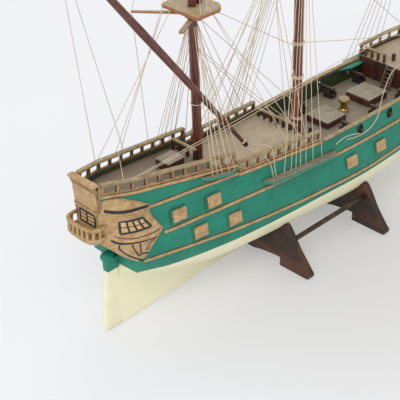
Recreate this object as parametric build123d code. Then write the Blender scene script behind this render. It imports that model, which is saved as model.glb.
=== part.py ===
"""Fully rigged wooden model ship resting on a two-board walnut cradle.

Frame: +X towards the bow, +Y to port, +Z up, floor at z = 0.
Working x values count forward from the aft face of the aft cradle board, and every piece is shifted
by -MID_X at export, so the origin lies on the floor under the middle of the whole model.
"""
from build123d import *
import math
import os

# ---------------------------------------------------------------- overall sizes (mm)
AFT_END = -257.0            # outermost point of the stern balcony rail
JIBBOOM_TIP = 545.0         # forward end of the jibboom
MID_X = (AFT_END + JIBBOOM_TIP) / 2

# ---------------------------------------------------------------- clearances (mm)
LAY_GAP = 0.12              # small pieces laid on the curved hull side
SEAT_GAP = 0.35             # hull above its cradle boards
LINE_GAP = 0.25             # rigging line ends short of their anchors

# ---------------------------------------------------------------- cradle stand
BOARD_T = 9.5               # board thickness along X
BOARD_PITCH = 135.0         # aft face to aft face
FOOT_IN = 53.0              # inner edge of each foot from the middle
FOOT_OUT = 98.0             # outer edge of the aft board's feet
FORE_BOARD_EXTRA = 6.0      # how much further out the fore board's feet stand
FOOT_NOTCH_Z = 11.0         # height of the notch beside each foot
UNDER_MID_Z = 5.2           # underside of a board below the keel
HORN_RISE = 2.0             # horn tip above the chine of the hull it carries
DOWEL_D = 6.0
DOWEL_Y = -68.0
DOWEL_Z = 40.5
PIN_D = 1.8

# ---------------------------------------------------------------- keel, stem and rudder
KEEL_HALF = 2.5
KEEL_AFT_X = -219.0
KEEL_AFT_Z = 1.5
KEEL_RISE = 0.033           # the model sits slightly bow-up
POST_X = -213.0             # aft face of the sternpost
HULL_AFT_X = -205.0         # aft face of the lower hull
RUDDER_FOOT_X = -226.5
RUDDER_TOP_X = -221.0
RUDDER_TOP_Z = 79.0
RUDDER_T = 4.4
STEM_T = 5.0

# ---------------------------------------------------------------- decks and breaks
POOP_BREAK_X = -90.8
POOP_RAIL_END_X = -66.0     # the poop side rails run one bay past the break
QD_BREAK_X = 66.0
FC_BREAK_X = 268.0
BOW_X = 428.0
TAFFRAIL_X = -241.0
WAIST_DECK_Z = 119.5
WAIST_CAP_Z = 142.0
DECK_T = 2.0
BULWARK_T = 4.5
POOP_SHEER = 0.149
QD_SHEER = 0.065
FC_SHEER = 0.08
POOP_RAIL_H = 14.0
QD_RAIL_H = 13.0
FC_RAIL_H = 14.0
CAP_W = 4.0
CAP_T = 2.4
POST_W = 3.0
POST_PITCH = 17.5
BULKHEAD_T = 2.5

# ---------------------------------------------------------------- side fittings
WALE_T = 1.6
WALE_H = 3.6
STRIP_H = 3.2
STRIP_GAP = 0.3             # deck-edge strips off the hull side
LID_L = 19.0
LID_H = 15.5
LID_T = 2.0
LID_BACK_T = 1.4
LID_BACK_MARGIN = 1.4
PORT_SIZE = 11.0
PORT_Z = 130.5
CHANNEL_T = 4.0

# ---------------------------------------------------------------- masts
MIZZEN_X = -81.3
MAIN_X = 84.0
FORE_X = 300.0
MIZZEN_RAKE = 0.054
MAIN_RAKE = 0.0385
FORE_RAKE = 0.012
MIZZEN_D = 10.4
MAIN_D = 12.0
FORE_D = 11.5
MIZZEN_TOP_Z = 336.0
MAIN_TOP_Z = 392.0
FORE_TOP_Z = 376.0
TOP_T = 3.6
THREAD_D = 0.8

# Hull lines: one row per station, x then (half-breadth, height) of seven points from the keel up:
# keel bottom, top of the deadwood, middle of the bottom, chine, widest point, topside, rail line.
HULL_LINES = [
    (-205.0, (2.5, 62.0), (10.0, 76.0), (33.0, 85.0), (38.5, 103.0), (33.0, 140.0), (25.5, 197.0)),
    (-150.0, (3.0, 36.0), (17.0, 54.0), (40.0, 70.0), (46.5, 90.0), (40.0, 135.0), (31.0, 189.0)),
    (-68.0, (3.0, 16.0), (30.0, 39.5), (50.0, 61.0), (56.0, 80.0), (49.0, 125.0), (39.0, 176.0)),
    (0.0, (3.0, 12.0), (31.0, 36.0), (56.0, 58.8), (61.0, 77.0), (54.0, 120.0), (45.5, 163.0)),
    (61.0, (3.0, 14.0), (35.0, 36.0), (60.0, 58.8), (64.0, 77.0), (57.0, 118.0), (51.0, 155.0)),
    (135.0, (3.0, 16.0), (42.0, 36.0), (64.0, 59.0), (67.0, 78.0), (59.0, 117.0), (53.0, 152.0)),
    (200.0, (3.0, 18.0), (38.0, 38.0), (61.0, 60.0), (65.0, 80.0), (58.0, 119.0), (53.0, 153.0)),
    (265.0, (3.0, 22.0), (28.0, 41.0), (51.0, 60.0), (58.0, 84.0), (54.5, 123.0), (51.0, 162.0)),
    (320.0, (3.0, 26.0), (17.0, 46.0), (37.0, 64.0), (47.0, 90.0), (46.0, 130.0), (46.0, 168.0)),
    (365.0, (3.0, 32.0), (9.0, 53.0), (22.0, 71.0), (31.0, 98.0), (34.0, 138.0), (36.5, 173.0)),
    (400.0, (3.0, 50.0), (5.0, 64.0), (10.0, 82.0), (15.0, 108.0), (20.0, 145.0), (25.0, 177.0)),
    (420.0, (2.8, 88.0), (3.4, 95.0), (4.5, 104.0), (6.5, 120.0), (10.0, 152.0), (13.0, 179.0)),
    (428.0, (2.6, 122.0), (2.8, 128.0), (3.0, 134.0), (3.2, 142.0), (3.6, 160.0), (4.0, 180.0)),
]
STATION_PITCH = 16.0


# ---------------------------------------------------------------- shape helpers
def slopes(xs, ys):
    """Slopes of a smooth curve that never overshoots its points."""
    count = len(xs)
    steps = [(ys[i + 1] - ys[i]) / (xs[i + 1] - xs[i]) for i in range(count - 1)]
    result = [steps[0]]
    for i in range(1, count - 1):
        before = steps[i - 1]
        after = steps[i]
        result.append(0.0 if before * after <= 0 else 2 * before * after / (before + after))
    result.append(steps[-1])
    return result


def smooth(x, xs, ys):
    """Value at x of the smooth curve through the points."""
    x = min(max(x, xs[0]), xs[-1])
    m = slopes(xs, ys)
    i = max(k for k in range(len(xs) - 1) if xs[k] <= x)
    width = xs[i + 1] - xs[i]
    t = (x - xs[i]) / width
    start = (1 + 2 * t) * (1 - t) ** 2 * ys[i] + t * (1 - t) ** 2 * width * m[i]
    return start + t * t * (3 - 2 * t) * ys[i + 1] + t * t * (t - 1) * width * m[i + 1]


def keel_z(x):
    """Height of the keel's underside, which sweeps up into the stem."""
    straight = KEEL_AFT_Z + KEEL_RISE * (x - KEEL_AFT_X)
    if x <= 365.0:
        return straight
    return straight + 92.0 * ((x - 365.0) / (BOW_X - 365.0)) ** 2


def fair_points(x):
    """Half-section of the fair hull at x, from the keel's underside to the rail line."""
    xs = [row[0] for row in HULL_LINES]
    points = [(KEEL_HALF, keel_z(x))]
    for i in range(1, 7):
        y = smooth(x, xs, [row[i][0] for row in HULL_LINES])
        z = smooth(x, xs, [row[i][1] for row in HULL_LINES])
        points.append((y, z))
    return points


def spread(start, end, pitch):
    """Evenly spaced values from start to end, no further apart than pitch."""
    count = max(1, math.ceil(abs(end - start) / pitch))
    return [start + (end - start) * i / count for i in range(count + 1)]


STATIONS = spread(HULL_AFT_X, 380.0, STATION_PITCH) + [391.0, 402.0, 412.0, 420.0, BOW_X]
SECTIONS = [fair_points(x) for x in STATIONS]


def hull_points(x):
    """Half-section of the planked hull at x, straight between neighbouring stations."""
    x = min(max(x, STATIONS[0]), STATIONS[-1])
    i = max(k for k in range(len(STATIONS) - 1) if STATIONS[k] <= x)
    t = (x - STATIONS[i]) / (STATIONS[i + 1] - STATIONS[i])
    pairs = zip(SECTIONS[i], SECTIONS[i + 1])
    return [(y0 + (y1 - y0) * t, z0 + (z1 - z0) * t) for (y0, z0), (y1, z1) in pairs]


def stations_between(start, end):
    """The hull stations inside a length, with its two ends."""
    return [start] + [x for x in STATIONS if start + 1.0 < x < end - 1.0] + [end]


def half_breadth(x, z):
    """Half-breadth of the hull at x and height z."""
    points = hull_points(x)
    for (y0, z0), (y1, z1) in zip(points, points[1:]):
        if z <= z1 or (y1, z1) == points[-1]:
            return y0 + (y1 - y0) * (z - z0) / (z1 - z0)
    return points[-1][0]


def poop_z(x):
    return 177.0 + POOP_SHEER * (-170.0 - x)


def quarterdeck_z(x):
    return WAIST_CAP_Z + QD_SHEER * (QD_BREAK_X - x)


def forecastle_z(x):
    return 147.0 + FC_SHEER * (x - FC_BREAK_X)


def section_face(x, points):
    """Flat face across the ship at x from one side's (y, z) points, mirrored to the other."""
    port = [(x, y, z) for y, z in points]
    starboard = [(x, -y, z) for y, z in reversed(points)]
    return make_face(Polyline(*port, *starboard, close=True))


def side_prism(points, half_width):
    """Solid between y = -half_width and +half_width with an (x, z) outline."""
    outline = make_face(Polyline(*[(x, -half_width, z) for x, z in points], close=True))
    return extrude(outline, amount=2 * half_width, dir=(0, 1, 0))


def block(x0, x1, y0, y1, z0, z1):
    """Box between two corners."""
    middle = Location(((x0 + x1) / 2, (y0 + y1) / 2, (z0 + z1) / 2))
    return middle * Box(x1 - x0, y1 - y0, z1 - z0)


def spar(start, end, r0, r1):
    """Round tapered spar between two points."""
    a = Vector(*start)
    b = Vector(*end)
    plane = Plane(origin=a, z_dir=b - a)
    length = (b - a).length
    if abs(r0 - r1) < 0.01:
        return Solid.make_cylinder(r0, length, plane)
    return Solid.make_cone(r0, r1, length, plane)


def line(start, end, gap_start=LINE_GAP, gap_end=LINE_GAP):
    """Taut rigging line between two anchor points, held off each by a small gap."""
    a = Vector(*start)
    b = Vector(*end)
    along = (b - a).normalized()
    a = a + along * gap_start
    b = b - along * gap_end
    return Solid.make_cylinder(THREAD_D / 2, (b - a).length, Plane(origin=a, z_dir=along))


def mirrored(shapes):
    """The shapes and their mirror images across the middle plane."""
    return list(shapes) + [shape.mirror(Plane.XZ) for shape in shapes]


def solids(*shapes):
    """Every separate solid in the shapes."""
    found = []
    for shape in shapes:
        if isinstance(shape, (list, tuple)):
            found.extend(solids(*shape))
        else:
            found.extend(shape.solids())
    return found


def ribbon(xs, low, high, out, back=LAY_GAP):
    """Strip along the port side: low(x) and high(x) give its edges, out its thickness."""
    faces = []
    for x in xs:
        z0 = low(x)
        z1 = high(x)
        y0 = side_breadth(x, z0)
        y1 = side_breadth(x, z1)
        knuckle = 0.0
        for share in (0.2, 0.35, 0.5, 0.65, 0.8):
            knuckle = max(knuckle, side_breadth(x, z0 + (z1 - z0) * share) - y0 - (y1 - y0) * share)
        gap = back + knuckle
        corners = [(x, y0 + gap, z0), (x, y0 + out, z0), (x, y1 + out, z1), (x, y1 + gap, z1)]
        faces.append(make_face(Polyline(*corners, close=True)))
    return loft(faces, ruled=True)


# ---------------------------------------------------------------- hull
STERN_LINES = [
    (HULL_AFT_X, (38.3, 103.3), (33.0, 140.0)),
    (-222.0, (30.0, 115.0), (26.5, 147.0)),
    (-238.0, (19.0, 138.0), (18.5, 157.0)),
]
TRANSOM_Y = 17.5
RIM_W = 3.5                 # width of the hull's rim outside each sunk deck
POOP_SINK = 5.0
QD_SINK = 5.0
FC_SINK = 1.5


def side_breadth(x, z):
    """Half-breadth of the ship at x and z, with the narrowing stern block included."""
    if x >= HULL_AFT_X:
        return half_breadth(x, z)
    share = (HULL_AFT_X - x) / (HULL_AFT_X - TAFFRAIL_X)
    start = half_breadth(HULL_AFT_X, z)
    return start + (TRANSOM_Y - start) * share


def hull_envelope():
    """The whole outer form of the hull, solid, up to the rail line."""
    return loft([section_face(x, hull_points(x)) for x in STATIONS], ruled=True)


def deck_plan(x0, x1, rim, inset, z0, z1):
    """Upright prism over the deck between x0 and x1, inset from the side at the rim's height."""
    port = [(x, side_breadth(x, rim(x)) - inset) for x in spread(x0, x1, 20.0)]
    starboard = [(x, -y) for x, y in reversed(port)]
    outline = make_face(Polyline(*[(x, y, z0) for x, y in port + starboard], close=True))
    return extrude(outline, amount=z1 - z0, dir=(0, 0, 1))


def slab(x0, x1, low, high):
    """Layer across the ship between the sloping planes low(x) and high(x)."""
    return side_prism([(x0, low(x0)), (x1, low(x1)), (x1, high(x1)), (x0, high(x0))], 120.0)


def sunk_deck(x0, x1, rim, sink):
    """Deck planking sunk inside the rim, and the well that holds it."""
    plan = deck_plan(x0, x1, rim, RIM_W, 100.0, 260.0)
    deck = plan & slab(x0, x1, lambda x: rim(x) - sink - DECK_T, lambda x: rim(x) - sink)
    well = plan & slab(x0, x1, lambda x: rim(x) - sink - DECK_T, lambda x: 255.0)
    return deck, well


def make_hull():
    """Lower hull, upper works, bulwarks, decks and bulkheads."""
    envelope = hull_envelope()
    floor_z = WAIST_DECK_Z - DECK_T
    lower = envelope & block(-300, 500, -120, 120, -10, floor_z)

    poop_end = POOP_BREAK_X + BULKHEAD_T
    poop_deck, poop_well = sunk_deck(TAFFRAIL_X + 3.0, poop_end, poop_z, POOP_SINK)
    quarterdeck, quarter_well = sunk_deck(POOP_BREAK_X, QD_BREAK_X, quarterdeck_z, QD_SINK)
    forecastle, forecastle_well = sunk_deck(FC_BREAK_X, 404.0, forecastle_z, FC_SINK)

    aft_outline = [
        (HULL_AFT_X, floor_z), (QD_BREAK_X, floor_z), (QD_BREAK_X, quarterdeck_z(QD_BREAK_X)),
        (POOP_RAIL_END_X, quarterdeck_z(POOP_RAIL_END_X)), (POOP_RAIL_END_X, poop_z(POOP_RAIL_END_X)),
        (HULL_AFT_X, poop_z(HULL_AFT_X)),
    ]
    aft = (envelope & side_prism(aft_outline, 120.0)) - poop_well - quarter_well
    fore_outline = [
        (FC_BREAK_X, floor_z), (BOW_X, floor_z), (BOW_X, forecastle_z(BOW_X)),
        (FC_BREAK_X, forecastle_z(FC_BREAK_X)),
    ]
    fore = (envelope & side_prism(fore_outline, 120.0)) - forecastle_well

    def waist_rim(x):
        return WAIST_CAP_Z

    well = deck_plan(QD_BREAK_X, FC_BREAK_X, waist_rim, BULWARK_T, floor_z, 200.0)
    walls = (envelope & block(QD_BREAK_X, FC_BREAK_X, -120, 120, floor_z, WAIST_CAP_Z - CAP_T)) - well
    for x in PORT_XS:
        half = PORT_SIZE / 2
        walls = walls - block(x - half, x + half, -90, 90, PORT_Z - half, PORT_Z + half)
    waist_deck = deck_plan(QD_BREAK_X, FC_BREAK_X, waist_rim, BULWARK_T, floor_z, WAIST_DECK_Z)

    stern_faces = []
    for x, low, high in STERN_LINES:
        stern_faces.append(section_face(x, [low, high, (side_breadth(x, poop_z(x)), poop_z(x))]))
    stern = loft(stern_faces, ruled=True) - poop_well

    return {
        "hull_lower": lower, "hull_upper_aft": aft, "hull_upper_fore": fore,
        "hull_stern_block": stern, "bulwarks": walls, "poop_deck": poop_deck,
        "quarterdeck": quarterdeck, "waist_deck": waist_deck, "forecastle_deck": forecastle,
        "break_bulkheads": make_bulkheads(),
    }


PORT_XS = [133.0, 190.0, 247.0]


def make_bulkheads():
    """Plank screens across the three breaks between deck levels."""
    gap = 0.3
    poop_y = side_breadth(POOP_BREAK_X, poop_z(POOP_BREAK_X)) - RIM_W - gap - 0.6
    waist_y = half_breadth(QD_BREAK_X, WAIST_CAP_Z) - BULWARK_T - gap
    fc_y = half_breadth(FC_BREAK_X - BULKHEAD_T, WAIST_CAP_Z) - BULWARK_T - gap - 0.6
    poop_foot = quarterdeck_z(POOP_BREAK_X) - QD_SINK
    return [
        block(POOP_BREAK_X, POOP_BREAK_X + BULKHEAD_T, -poop_y, poop_y,
              poop_foot, poop_z(POOP_BREAK_X + BULKHEAD_T) - POOP_SINK - DECK_T - 0.05),
        block(QD_BREAK_X, QD_BREAK_X + BULKHEAD_T, -waist_y, waist_y,
              WAIST_DECK_Z, quarterdeck_z(QD_BREAK_X) - QD_SINK),
        block(FC_BREAK_X - BULKHEAD_T, FC_BREAK_X, -fc_y, fc_y,
              WAIST_DECK_Z, forecastle_z(FC_BREAK_X) - FC_SINK),
    ]


# ---------------------------------------------------------------- keel line: post, rudder, stem, head
def make_sternpost():
    return block(POST_X, HULL_AFT_X, -KEEL_HALF, KEEL_HALF, keel_z(POST_X), 84.0)


def make_rudder():
    """Rudder blade with its square head and rounded knob."""
    gap = 0.3
    top_fore = POST_X - gap
    outline = [
        (RUDDER_FOOT_X + 3.0, KEEL_AFT_Z), (top_fore, KEEL_AFT_Z + 0.2), (top_fore, RUDDER_TOP_Z),
        (RUDDER_TOP_X, RUDDER_TOP_Z), (RUDDER_FOOT_X, KEEL_AFT_Z + 9.0),
    ]
    head = block(-224.5, top_fore, -4.6, 4.6, RUDDER_TOP_Z - 0.5, 96.0)
    knob = Location((-223.5, 0, 95.5)) * Cylinder(6.0, 9.0)
    return side_prism(outline, RUDDER_T / 2) + head + knob


def make_counter_plate():
    """Flat lower counter closing the hull's aft end above the sternpost."""
    plate = section_face(HULL_AFT_X - 2.2, [(6.0, 84.5), (33.0, 85.4), (38.0, 102.8), (24.0, 102.9)])
    return extrude(plate, amount=2.1, dir=(1, 0, 0))


def make_stem():
    """Stem plate under and ahead of the bow, ending in a scrolled head knee."""
    inner = [(x, keel_z(x) - 0.4) for x in (330.0, 365.0, 378.0, 390.0, 401.0, 412.0, 421.0)]
    inner += [(BOW_X + 0.3, keel_z(BOW_X) - 3.0), (BOW_X + 0.3, 168.0)]
    outer = [(436.0, 170.5), (452.0, 176.0), (458.0, 170.0), (452.0, 158.0), (441.0, 138.0),
             (435.0, 112.0), (427.0, 85.0), (414.0, 58.0), (398.0, 33.0), (380.0, 17.0), (356.0, 9.5)]
    return side_prism(inner + outer, STEM_T / 2)


def make_head_scroll():
    """Plain carved scroll on the tip of the head knee."""
    return Location((462.5, 0, 171.0), (90, 0, 0)) * Cylinder(5.5, 8.0)


# ---------------------------------------------------------------- stern carving
TAFFRAIL_OVERHANG = 1.2     # taffrail cap beyond the transom on each side


def make_transom():
    """Upper transom panel with its flared taffrail."""
    lean = [(-238.0, 138.0), (-241.0, 138.0), (-241.0, 157.0), (-246.0, 199.0), (-242.6, 199.0),
            (-241.2, poop_z(-241.2)), (-238.0, poop_z(-238.0)), (-238.0, 157.0)]
    return side_prism(lean, TRANSOM_Y)


def make_taffrail_cap():
    half = TRANSOM_Y + TAFFRAIL_OVERHANG
    cap = block(-249.0, -241.0, -half, half, 199.0, 202.6)
    return fillet(cap.edges().filter_by(Axis.Y), 1.2)


TRANSOM_AFT_X = -241.2
BALCONY_REACH = TRANSOM_AFT_X - AFT_END
BALCONY_HALF = 24.0
BALCONY_SQUARENESS = 2 / 3  # power in the outline's formula: 1 is an ellipse, smaller is squarer
BALCONY_Z = 137.0
BALCONY_FLOOR_T = 2.4
BALCONY_RAIL_Z = 150.5
BALCONY_RAIL_T = 3.6
BALCONY_RAIL_W = 3.6
BALUSTERS = 9
BALUSTER_D = 2.4
BALUSTER_IN = 1.8           # baluster centres inside the rail's outer edge


def balcony_bow(reach, half, count=12):
    """Points of a squared-off bow aft of the transom, from starboard to port."""
    points = []
    for i in range(count + 1):
        angle = math.pi * i / count
        y = -half * math.copysign(abs(math.cos(angle)) ** BALCONY_SQUARENESS, math.cos(angle))
        x = TRANSOM_AFT_X - reach * max(math.sin(angle), 0.0) ** BALCONY_SQUARENESS
        points.append((x, y))
    return points


def balcony_face(z, reach, half):
    """Flat face of the balcony's plan at height z."""
    bow = [(x, y, z) for x, y in balcony_bow(reach, half)]
    return make_face([Spline(*bow), Line(bow[-1], bow[0])])


def balcony_slab(z, reach, half, height):
    return extrude(balcony_face(z, reach, half), amount=height, dir=(0, 0, 1))


def along(points, share):
    """Point at a share of the length of a run of points."""
    lengths = [math.dist(a, b) for a, b in zip(points, points[1:])]
    left = share * sum(lengths)
    for a, b, length in zip(points, points[1:], lengths):
        if left <= length:
            return (a[0] + (b[0] - a[0]) * left / length, a[1] + (b[1] - a[1]) * left / length)
        left -= length
    return points[-1]


def make_balcony():
    """Floor on a shaped console, and a rail on turned balusters."""
    floor = balcony_slab(BALCONY_Z, BALCONY_REACH - 0.5, BALCONY_HALF - 0.5, BALCONY_FLOOR_T)
    rail = balcony_slab(BALCONY_RAIL_Z, BALCONY_REACH, BALCONY_HALF, BALCONY_RAIL_T)
    inside = balcony_slab(BALCONY_RAIL_Z - 1, BALCONY_REACH - BALCONY_RAIL_W, BALCONY_HALF - BALCONY_RAIL_W,
                          BALCONY_RAIL_T + 2)
    path = balcony_bow(BALCONY_REACH - BALUSTER_IN, BALCONY_HALF - BALUSTER_IN, 96)
    foot = BALCONY_Z + BALCONY_FLOOR_T
    tall = BALCONY_RAIL_Z - foot
    posts = []
    for i in range(BALUSTERS):
        x, y = along(path, (i + 0.5) / BALUSTERS)
        posts.append(Location((x, y, foot + tall / 2)) * Cylinder(BALUSTER_D / 2, tall))
    console = loft([
        balcony_face(BALCONY_Z + 0.1, BALCONY_REACH - 2.0, BALCONY_HALF - 2.0),
        balcony_face(128.0, BALCONY_REACH - 8.0, BALCONY_HALF - 4.0),
    ], ruled=True)
    return {"balcony_floor": floor + console, "balcony_rail": [rail - inside] + posts}


# Quarter gallery levels: z, aft x and y, forward x and y, bulge outboard between them.
GALLERY_LEVELS = [
    (99.0, -204.5, 36.3, -199.5, 38.2, 0.8), (112.0, -222.0, 28.5, -190.5, 39.0, 5.0),
    (124.0, -234.0, 20.5, -179.5, 40.0, 9.0), (130.0, -240.0, 17.8, -174.0, 39.3, 11.5),
    (136.0, -239.5, 17.8, -178.5, 38.6, 8.5), (157.0, -240.5, 17.8, -189.0, 35.5, 9.0),
    (161.0, -240.8, 17.8, -188.0, 34.6, 11.5), (170.0, -239.5, 17.8, -198.0, 31.5, 7.5),
    (176.5, -236.0, 18.2, -210.0, 28.5, 3.0),
]


def gallery_outline(level):
    """Plan points of the starboard-mirrored gallery at one level, on the port side."""
    z, xa, ya, xf, yf, bulge = level
    length = math.hypot(xf - xa, yf - ya)
    normal = (-(yf - ya) / length, (xf - xa) / length)
    points = []
    for i in range(11):
        t = i / 10
        out = bulge * math.sin(math.pi * t) ** 0.7 if 0 < t < 1 else 0.0
        points.append((xa + (xf - xa) * t + normal[0] * out, ya + (yf - ya) * t + normal[1] * out, z))
    return points


def make_gallery(inner_shapes):
    """Port quarter gallery, its inner side shaped to the hull."""
    faces = []
    for level in GALLERY_LEVELS:
        outer = gallery_outline(level)
        z, aft_x, aft_y, fore_x = level[:4]
        inner = [(fore_x, 8.0, z), (aft_x + 4.5, 8.0, z), (aft_x + 4.5, aft_y - 0.1, z)]
        faces.append(make_face(Polyline(*outer, *inner, close=True)))
    body = loft(faces, ruled=True)
    for shape in inner_shapes:
        body = body - shape
    return max(body.solids(), key=lambda solid: solid.volume)


# ---------------------------------------------------------------- strips, lids and channels
def path_z(points):
    """Height along the side as a smooth curve through (x, z) points."""
    xs = [p[0] for p in points]
    zs = [p[1] for p in points]
    return lambda x: smooth(x, xs, zs)


LOWER_WALE = path_z([(-203.0, 101.0), (-123.0, 93.5), (-60.0, 88.0), (61.0, 81.5), (135.0, 80.0),
                     (212.0, 81.5), (320.0, 91.0), (400.0, 112.0), (426.0, 125.0)])
MIDDLE_WALE = path_z([(-181.0, 123.5), (-118.0, 121.8), (86.0, 115.8), (210.0, 114.8),
                      (320.0, 121.0), (400.0, 134.0), (426.0, 144.0)])
UPPER_WALE = path_z([(-189.0, 158.0), (-118.0, 154.2), (-66.0, 150.6)])


def wale(path, x0, x1):
    xs = stations_between(x0, x1)
    return ribbon(xs, lambda x: path(x) - WALE_H / 2, lambda x: path(x) + WALE_H / 2, WALE_T)


def deck_strip(rim, x0, x1):
    """Tan strip outside the hull's rim."""
    xs = stations_between(x0, x1)
    return ribbon(xs, lambda x: rim(x) - STRIP_H, rim, WALE_T, STRIP_GAP)


def make_wales():
    wales = [
        wale(LOWER_WALE, -197.0, 424.0),
        wale(MIDDLE_WALE, -171.0, 424.0),
        wale(UPPER_WALE, -183.0, POOP_RAIL_END_X - 0.3),
    ]
    return mirrored(wales)


def make_strips():
    strips = [
        deck_strip(poop_z, TAFFRAIL_X + 0.2, POOP_RAIL_END_X),
        deck_strip(quarterdeck_z, POOP_RAIL_END_X + 0.2, QD_BREAK_X - 1.2),
        deck_strip(forecastle_z, FC_BREAK_X + 1.0, 420.0),
    ]
    return mirrored(strips)


def side_plane(x, z):
    """Plane lying on the port side at x and z, its normal pointing outboard."""
    step = 4.0
    y = half_breadth(x, z)
    along = Vector(2 * step, half_breadth(x + step, z) - half_breadth(x - step, z), 0)
    up = Vector(0, half_breadth(x, z + step) - half_breadth(x, z - step), 2 * step)
    normal = up.cross(along).normalized()
    if normal.Y < 0:
        normal = normal * -1
    return Plane(origin=(x, y, z), x_dir=along.normalized(), z_dir=normal)


LIDS = [(-152.0, 136.5), (-105.0, 134.5), (-127.0, 107.0), (-79.0, 103.0), (111.0, 98.7),
        (166.0, 97.8), (221.0, 98.5), (276.0, 101.5)]


def side_bulge(plane, x, z, half_length, half_height):
    """How far the hull's side stands out of a plane over a rectangle about x and z."""
    most = 0.0
    for i in range(-4, 5):
        for k in range(-4, 5):
            px = x + half_length * i / 4
            pz = z + half_height * k / 4
            point = Vector(px, half_breadth(px, pz), pz)
            most = max(most, (point - plane.origin).dot(plane.z_dir))
    return most


def make_lids():
    """Closed gunport lids, each on a slightly larger backing board."""
    lids = []
    backs = []
    for x, z in LIDS:
        plane = side_plane(x, z)
        bulge = side_bulge(plane, x, z, LID_L / 2 + LID_BACK_MARGIN, LID_H / 2 + LID_BACK_MARGIN)
        back_z = bulge + LAY_GAP + LID_BACK_T / 2
        back = Box(LID_L + LID_BACK_MARGIN, LID_H + LID_BACK_MARGIN, LID_BACK_T)
        backs.append(plane.location * Location((-LID_BACK_MARGIN / 2, LID_BACK_MARGIN / 2, back_z)) * back)
        lid = Box(LID_L, LID_H, LID_T)
        lid = fillet(lid.edges().filter_by(Axis.Z), 1.5)
        lid_z = back_z + (LID_BACK_T + LID_T) / 2
        lids.append(plane.location * Location((0, 0, lid_z)) * lid)
    return mirrored(lids), mirrored(backs)


CHANNEL_TAPER = 9.0         # length of a channel's cut-away ends


def channel(x0, x1, z0, z1, out):
    """Shelf along the side that spreads the shrouds, with cut-away ends."""
    def top(x):
        return z0 + (z1 - z0) * (x - x0) / (x1 - x0)

    def reach(x):
        return max(1.5, out * min(1.0, (x - x0) / CHANNEL_TAPER, (x1 - x) / CHANNEL_TAPER))

    faces = []
    for x in [x0] + stations_between(x0 + CHANNEL_TAPER, x1 - CHANNEL_TAPER) + [x1]:
        z = top(x)
        y0 = half_breadth(x, z - CHANNEL_T) + LAY_GAP
        y1 = half_breadth(x, z) + LAY_GAP
        edge = half_breadth(x, z) + reach(x)
        corners = [(x, y0, z - CHANNEL_T), (x, edge, z - CHANNEL_T), (x, edge, z), (x, y1, z)]
        faces.append(make_face(Polyline(*corners, close=True)))
    return loft(faces, ruled=True)


CHANNELS = {
    # ends along X, height of the top at each end, reach outboard
    "mizzen": (-118.0, -68.0, 165.6, 158.2, 7.5),
    "main": (-33.0, 86.0, 129.5, 123.3, 11.0),
    "fore": (240.0, 322.0, 138.9, 139.2, 9.5),
}


# ---------------------------------------------------------------- open rails
def rail_cap(x0, x1, top, width=CAP_W):
    """Cap of an open rail along the port side."""
    faces = []
    for x in spread(x0, x1, 14.0):
        z = top(x)
        y = side_breadth(x, z) - 0.4
        corners = [(x, y - width / 2, z - CAP_T), (x, y + width / 2, z - CAP_T),
                   (x, y + width / 2, z), (x, y - width / 2, z)]
        faces.append(make_face(Polyline(*corners, close=True)))
    return loft(faces, ruled=True)


def rail_posts(x0, x1, rim, height):
    """Flat posts between the hull's rim and the rail cap on the port side."""
    posts = []
    for x in spread(x0 + POST_W / 2, x1 - POST_W / 2, POST_PITCH):
        y = side_breadth(x, rim(x) + height) - 0.4
        slope = abs(rim(x + 1) - rim(x)) * POST_W / 2 + 0.05
        low = rim(x) + slope
        high = rim(x) + height - CAP_T - slope
        posts.append(block(x - POST_W / 2, x + POST_W / 2, y - 1.3, y + 1.3, low, high))
    return posts


RAIL_RUNS = {
    "poop": (-237.5, POOP_RAIL_END_X, poop_z, POOP_RAIL_H),
    "quarterdeck": (POOP_RAIL_END_X + 1.0, QD_BREAK_X - 2.0, quarterdeck_z, QD_RAIL_H),
    "forecastle": (FC_BREAK_X - 2.0, 410.0, forecastle_z, FC_RAIL_H),
}


def make_rails():
    """Side rails of the three upper decks, and the cap over the waist bulwarks."""
    caps = []
    posts = []
    for name, (x0, x1, rim, height) in RAIL_RUNS.items():
        caps.append(rail_cap(x0, x1, lambda x, rim=rim, height=height: rim(x) + height))
        first = max(x0, FC_BREAK_X + 0.5) if name == "forecastle" else x0
        posts += rail_posts(first, x1, rim, height)
    waist_x1 = FC_BREAK_X - 0.3
    caps.append(rail_cap(QD_BREAK_X + 0.3, waist_x1, lambda x: WAIST_CAP_Z, BULWARK_T + 1.4))
    return mirrored(caps), mirrored(posts)


def cross_rail(x, y0, y1, deck, height, post_gap=11.0):
    """Rail across a deck break: a cap on square posts."""
    posts = []
    for y in spread(y0 + 1.6, y1 - 1.6, post_gap):
        posts.append(block(x - 1.5, x + 1.5, y - 1.5, y + 1.5, deck + 0.15, deck + height - CAP_T))
    cap = block(x - 2.0, x + 2.0, y0, y1, deck + height - CAP_T, deck + height)
    return cap, posts


def make_cross_rails():
    poop_x = POOP_BREAK_X + 0.8
    qd_x = QD_BREAK_X - 2.2
    fc_x = FC_BREAK_X + 2.4
    poop_cap, poop_posts = cross_rail(poop_x, -4.0, 32.0, poop_z(poop_x) - POOP_SINK + 0.25, 14.0)
    qd_cap, qd_posts = cross_rail(qd_x, -17.0, 44.5, quarterdeck_z(qd_x) - QD_SINK + 0.15, 11.0)
    fc_deck = forecastle_z(fc_x) - FC_SINK + 0.15
    port_cap, port_posts = cross_rail(fc_x, 12.5, 45.0, fc_deck, 12.5)
    star_cap, star_posts = cross_rail(fc_x, -45.0, -12.5, fc_deck, 12.5)
    posts = poop_posts + qd_posts + port_posts + star_posts
    return [poop_cap, qd_cap, port_cap, star_cap], posts


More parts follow.
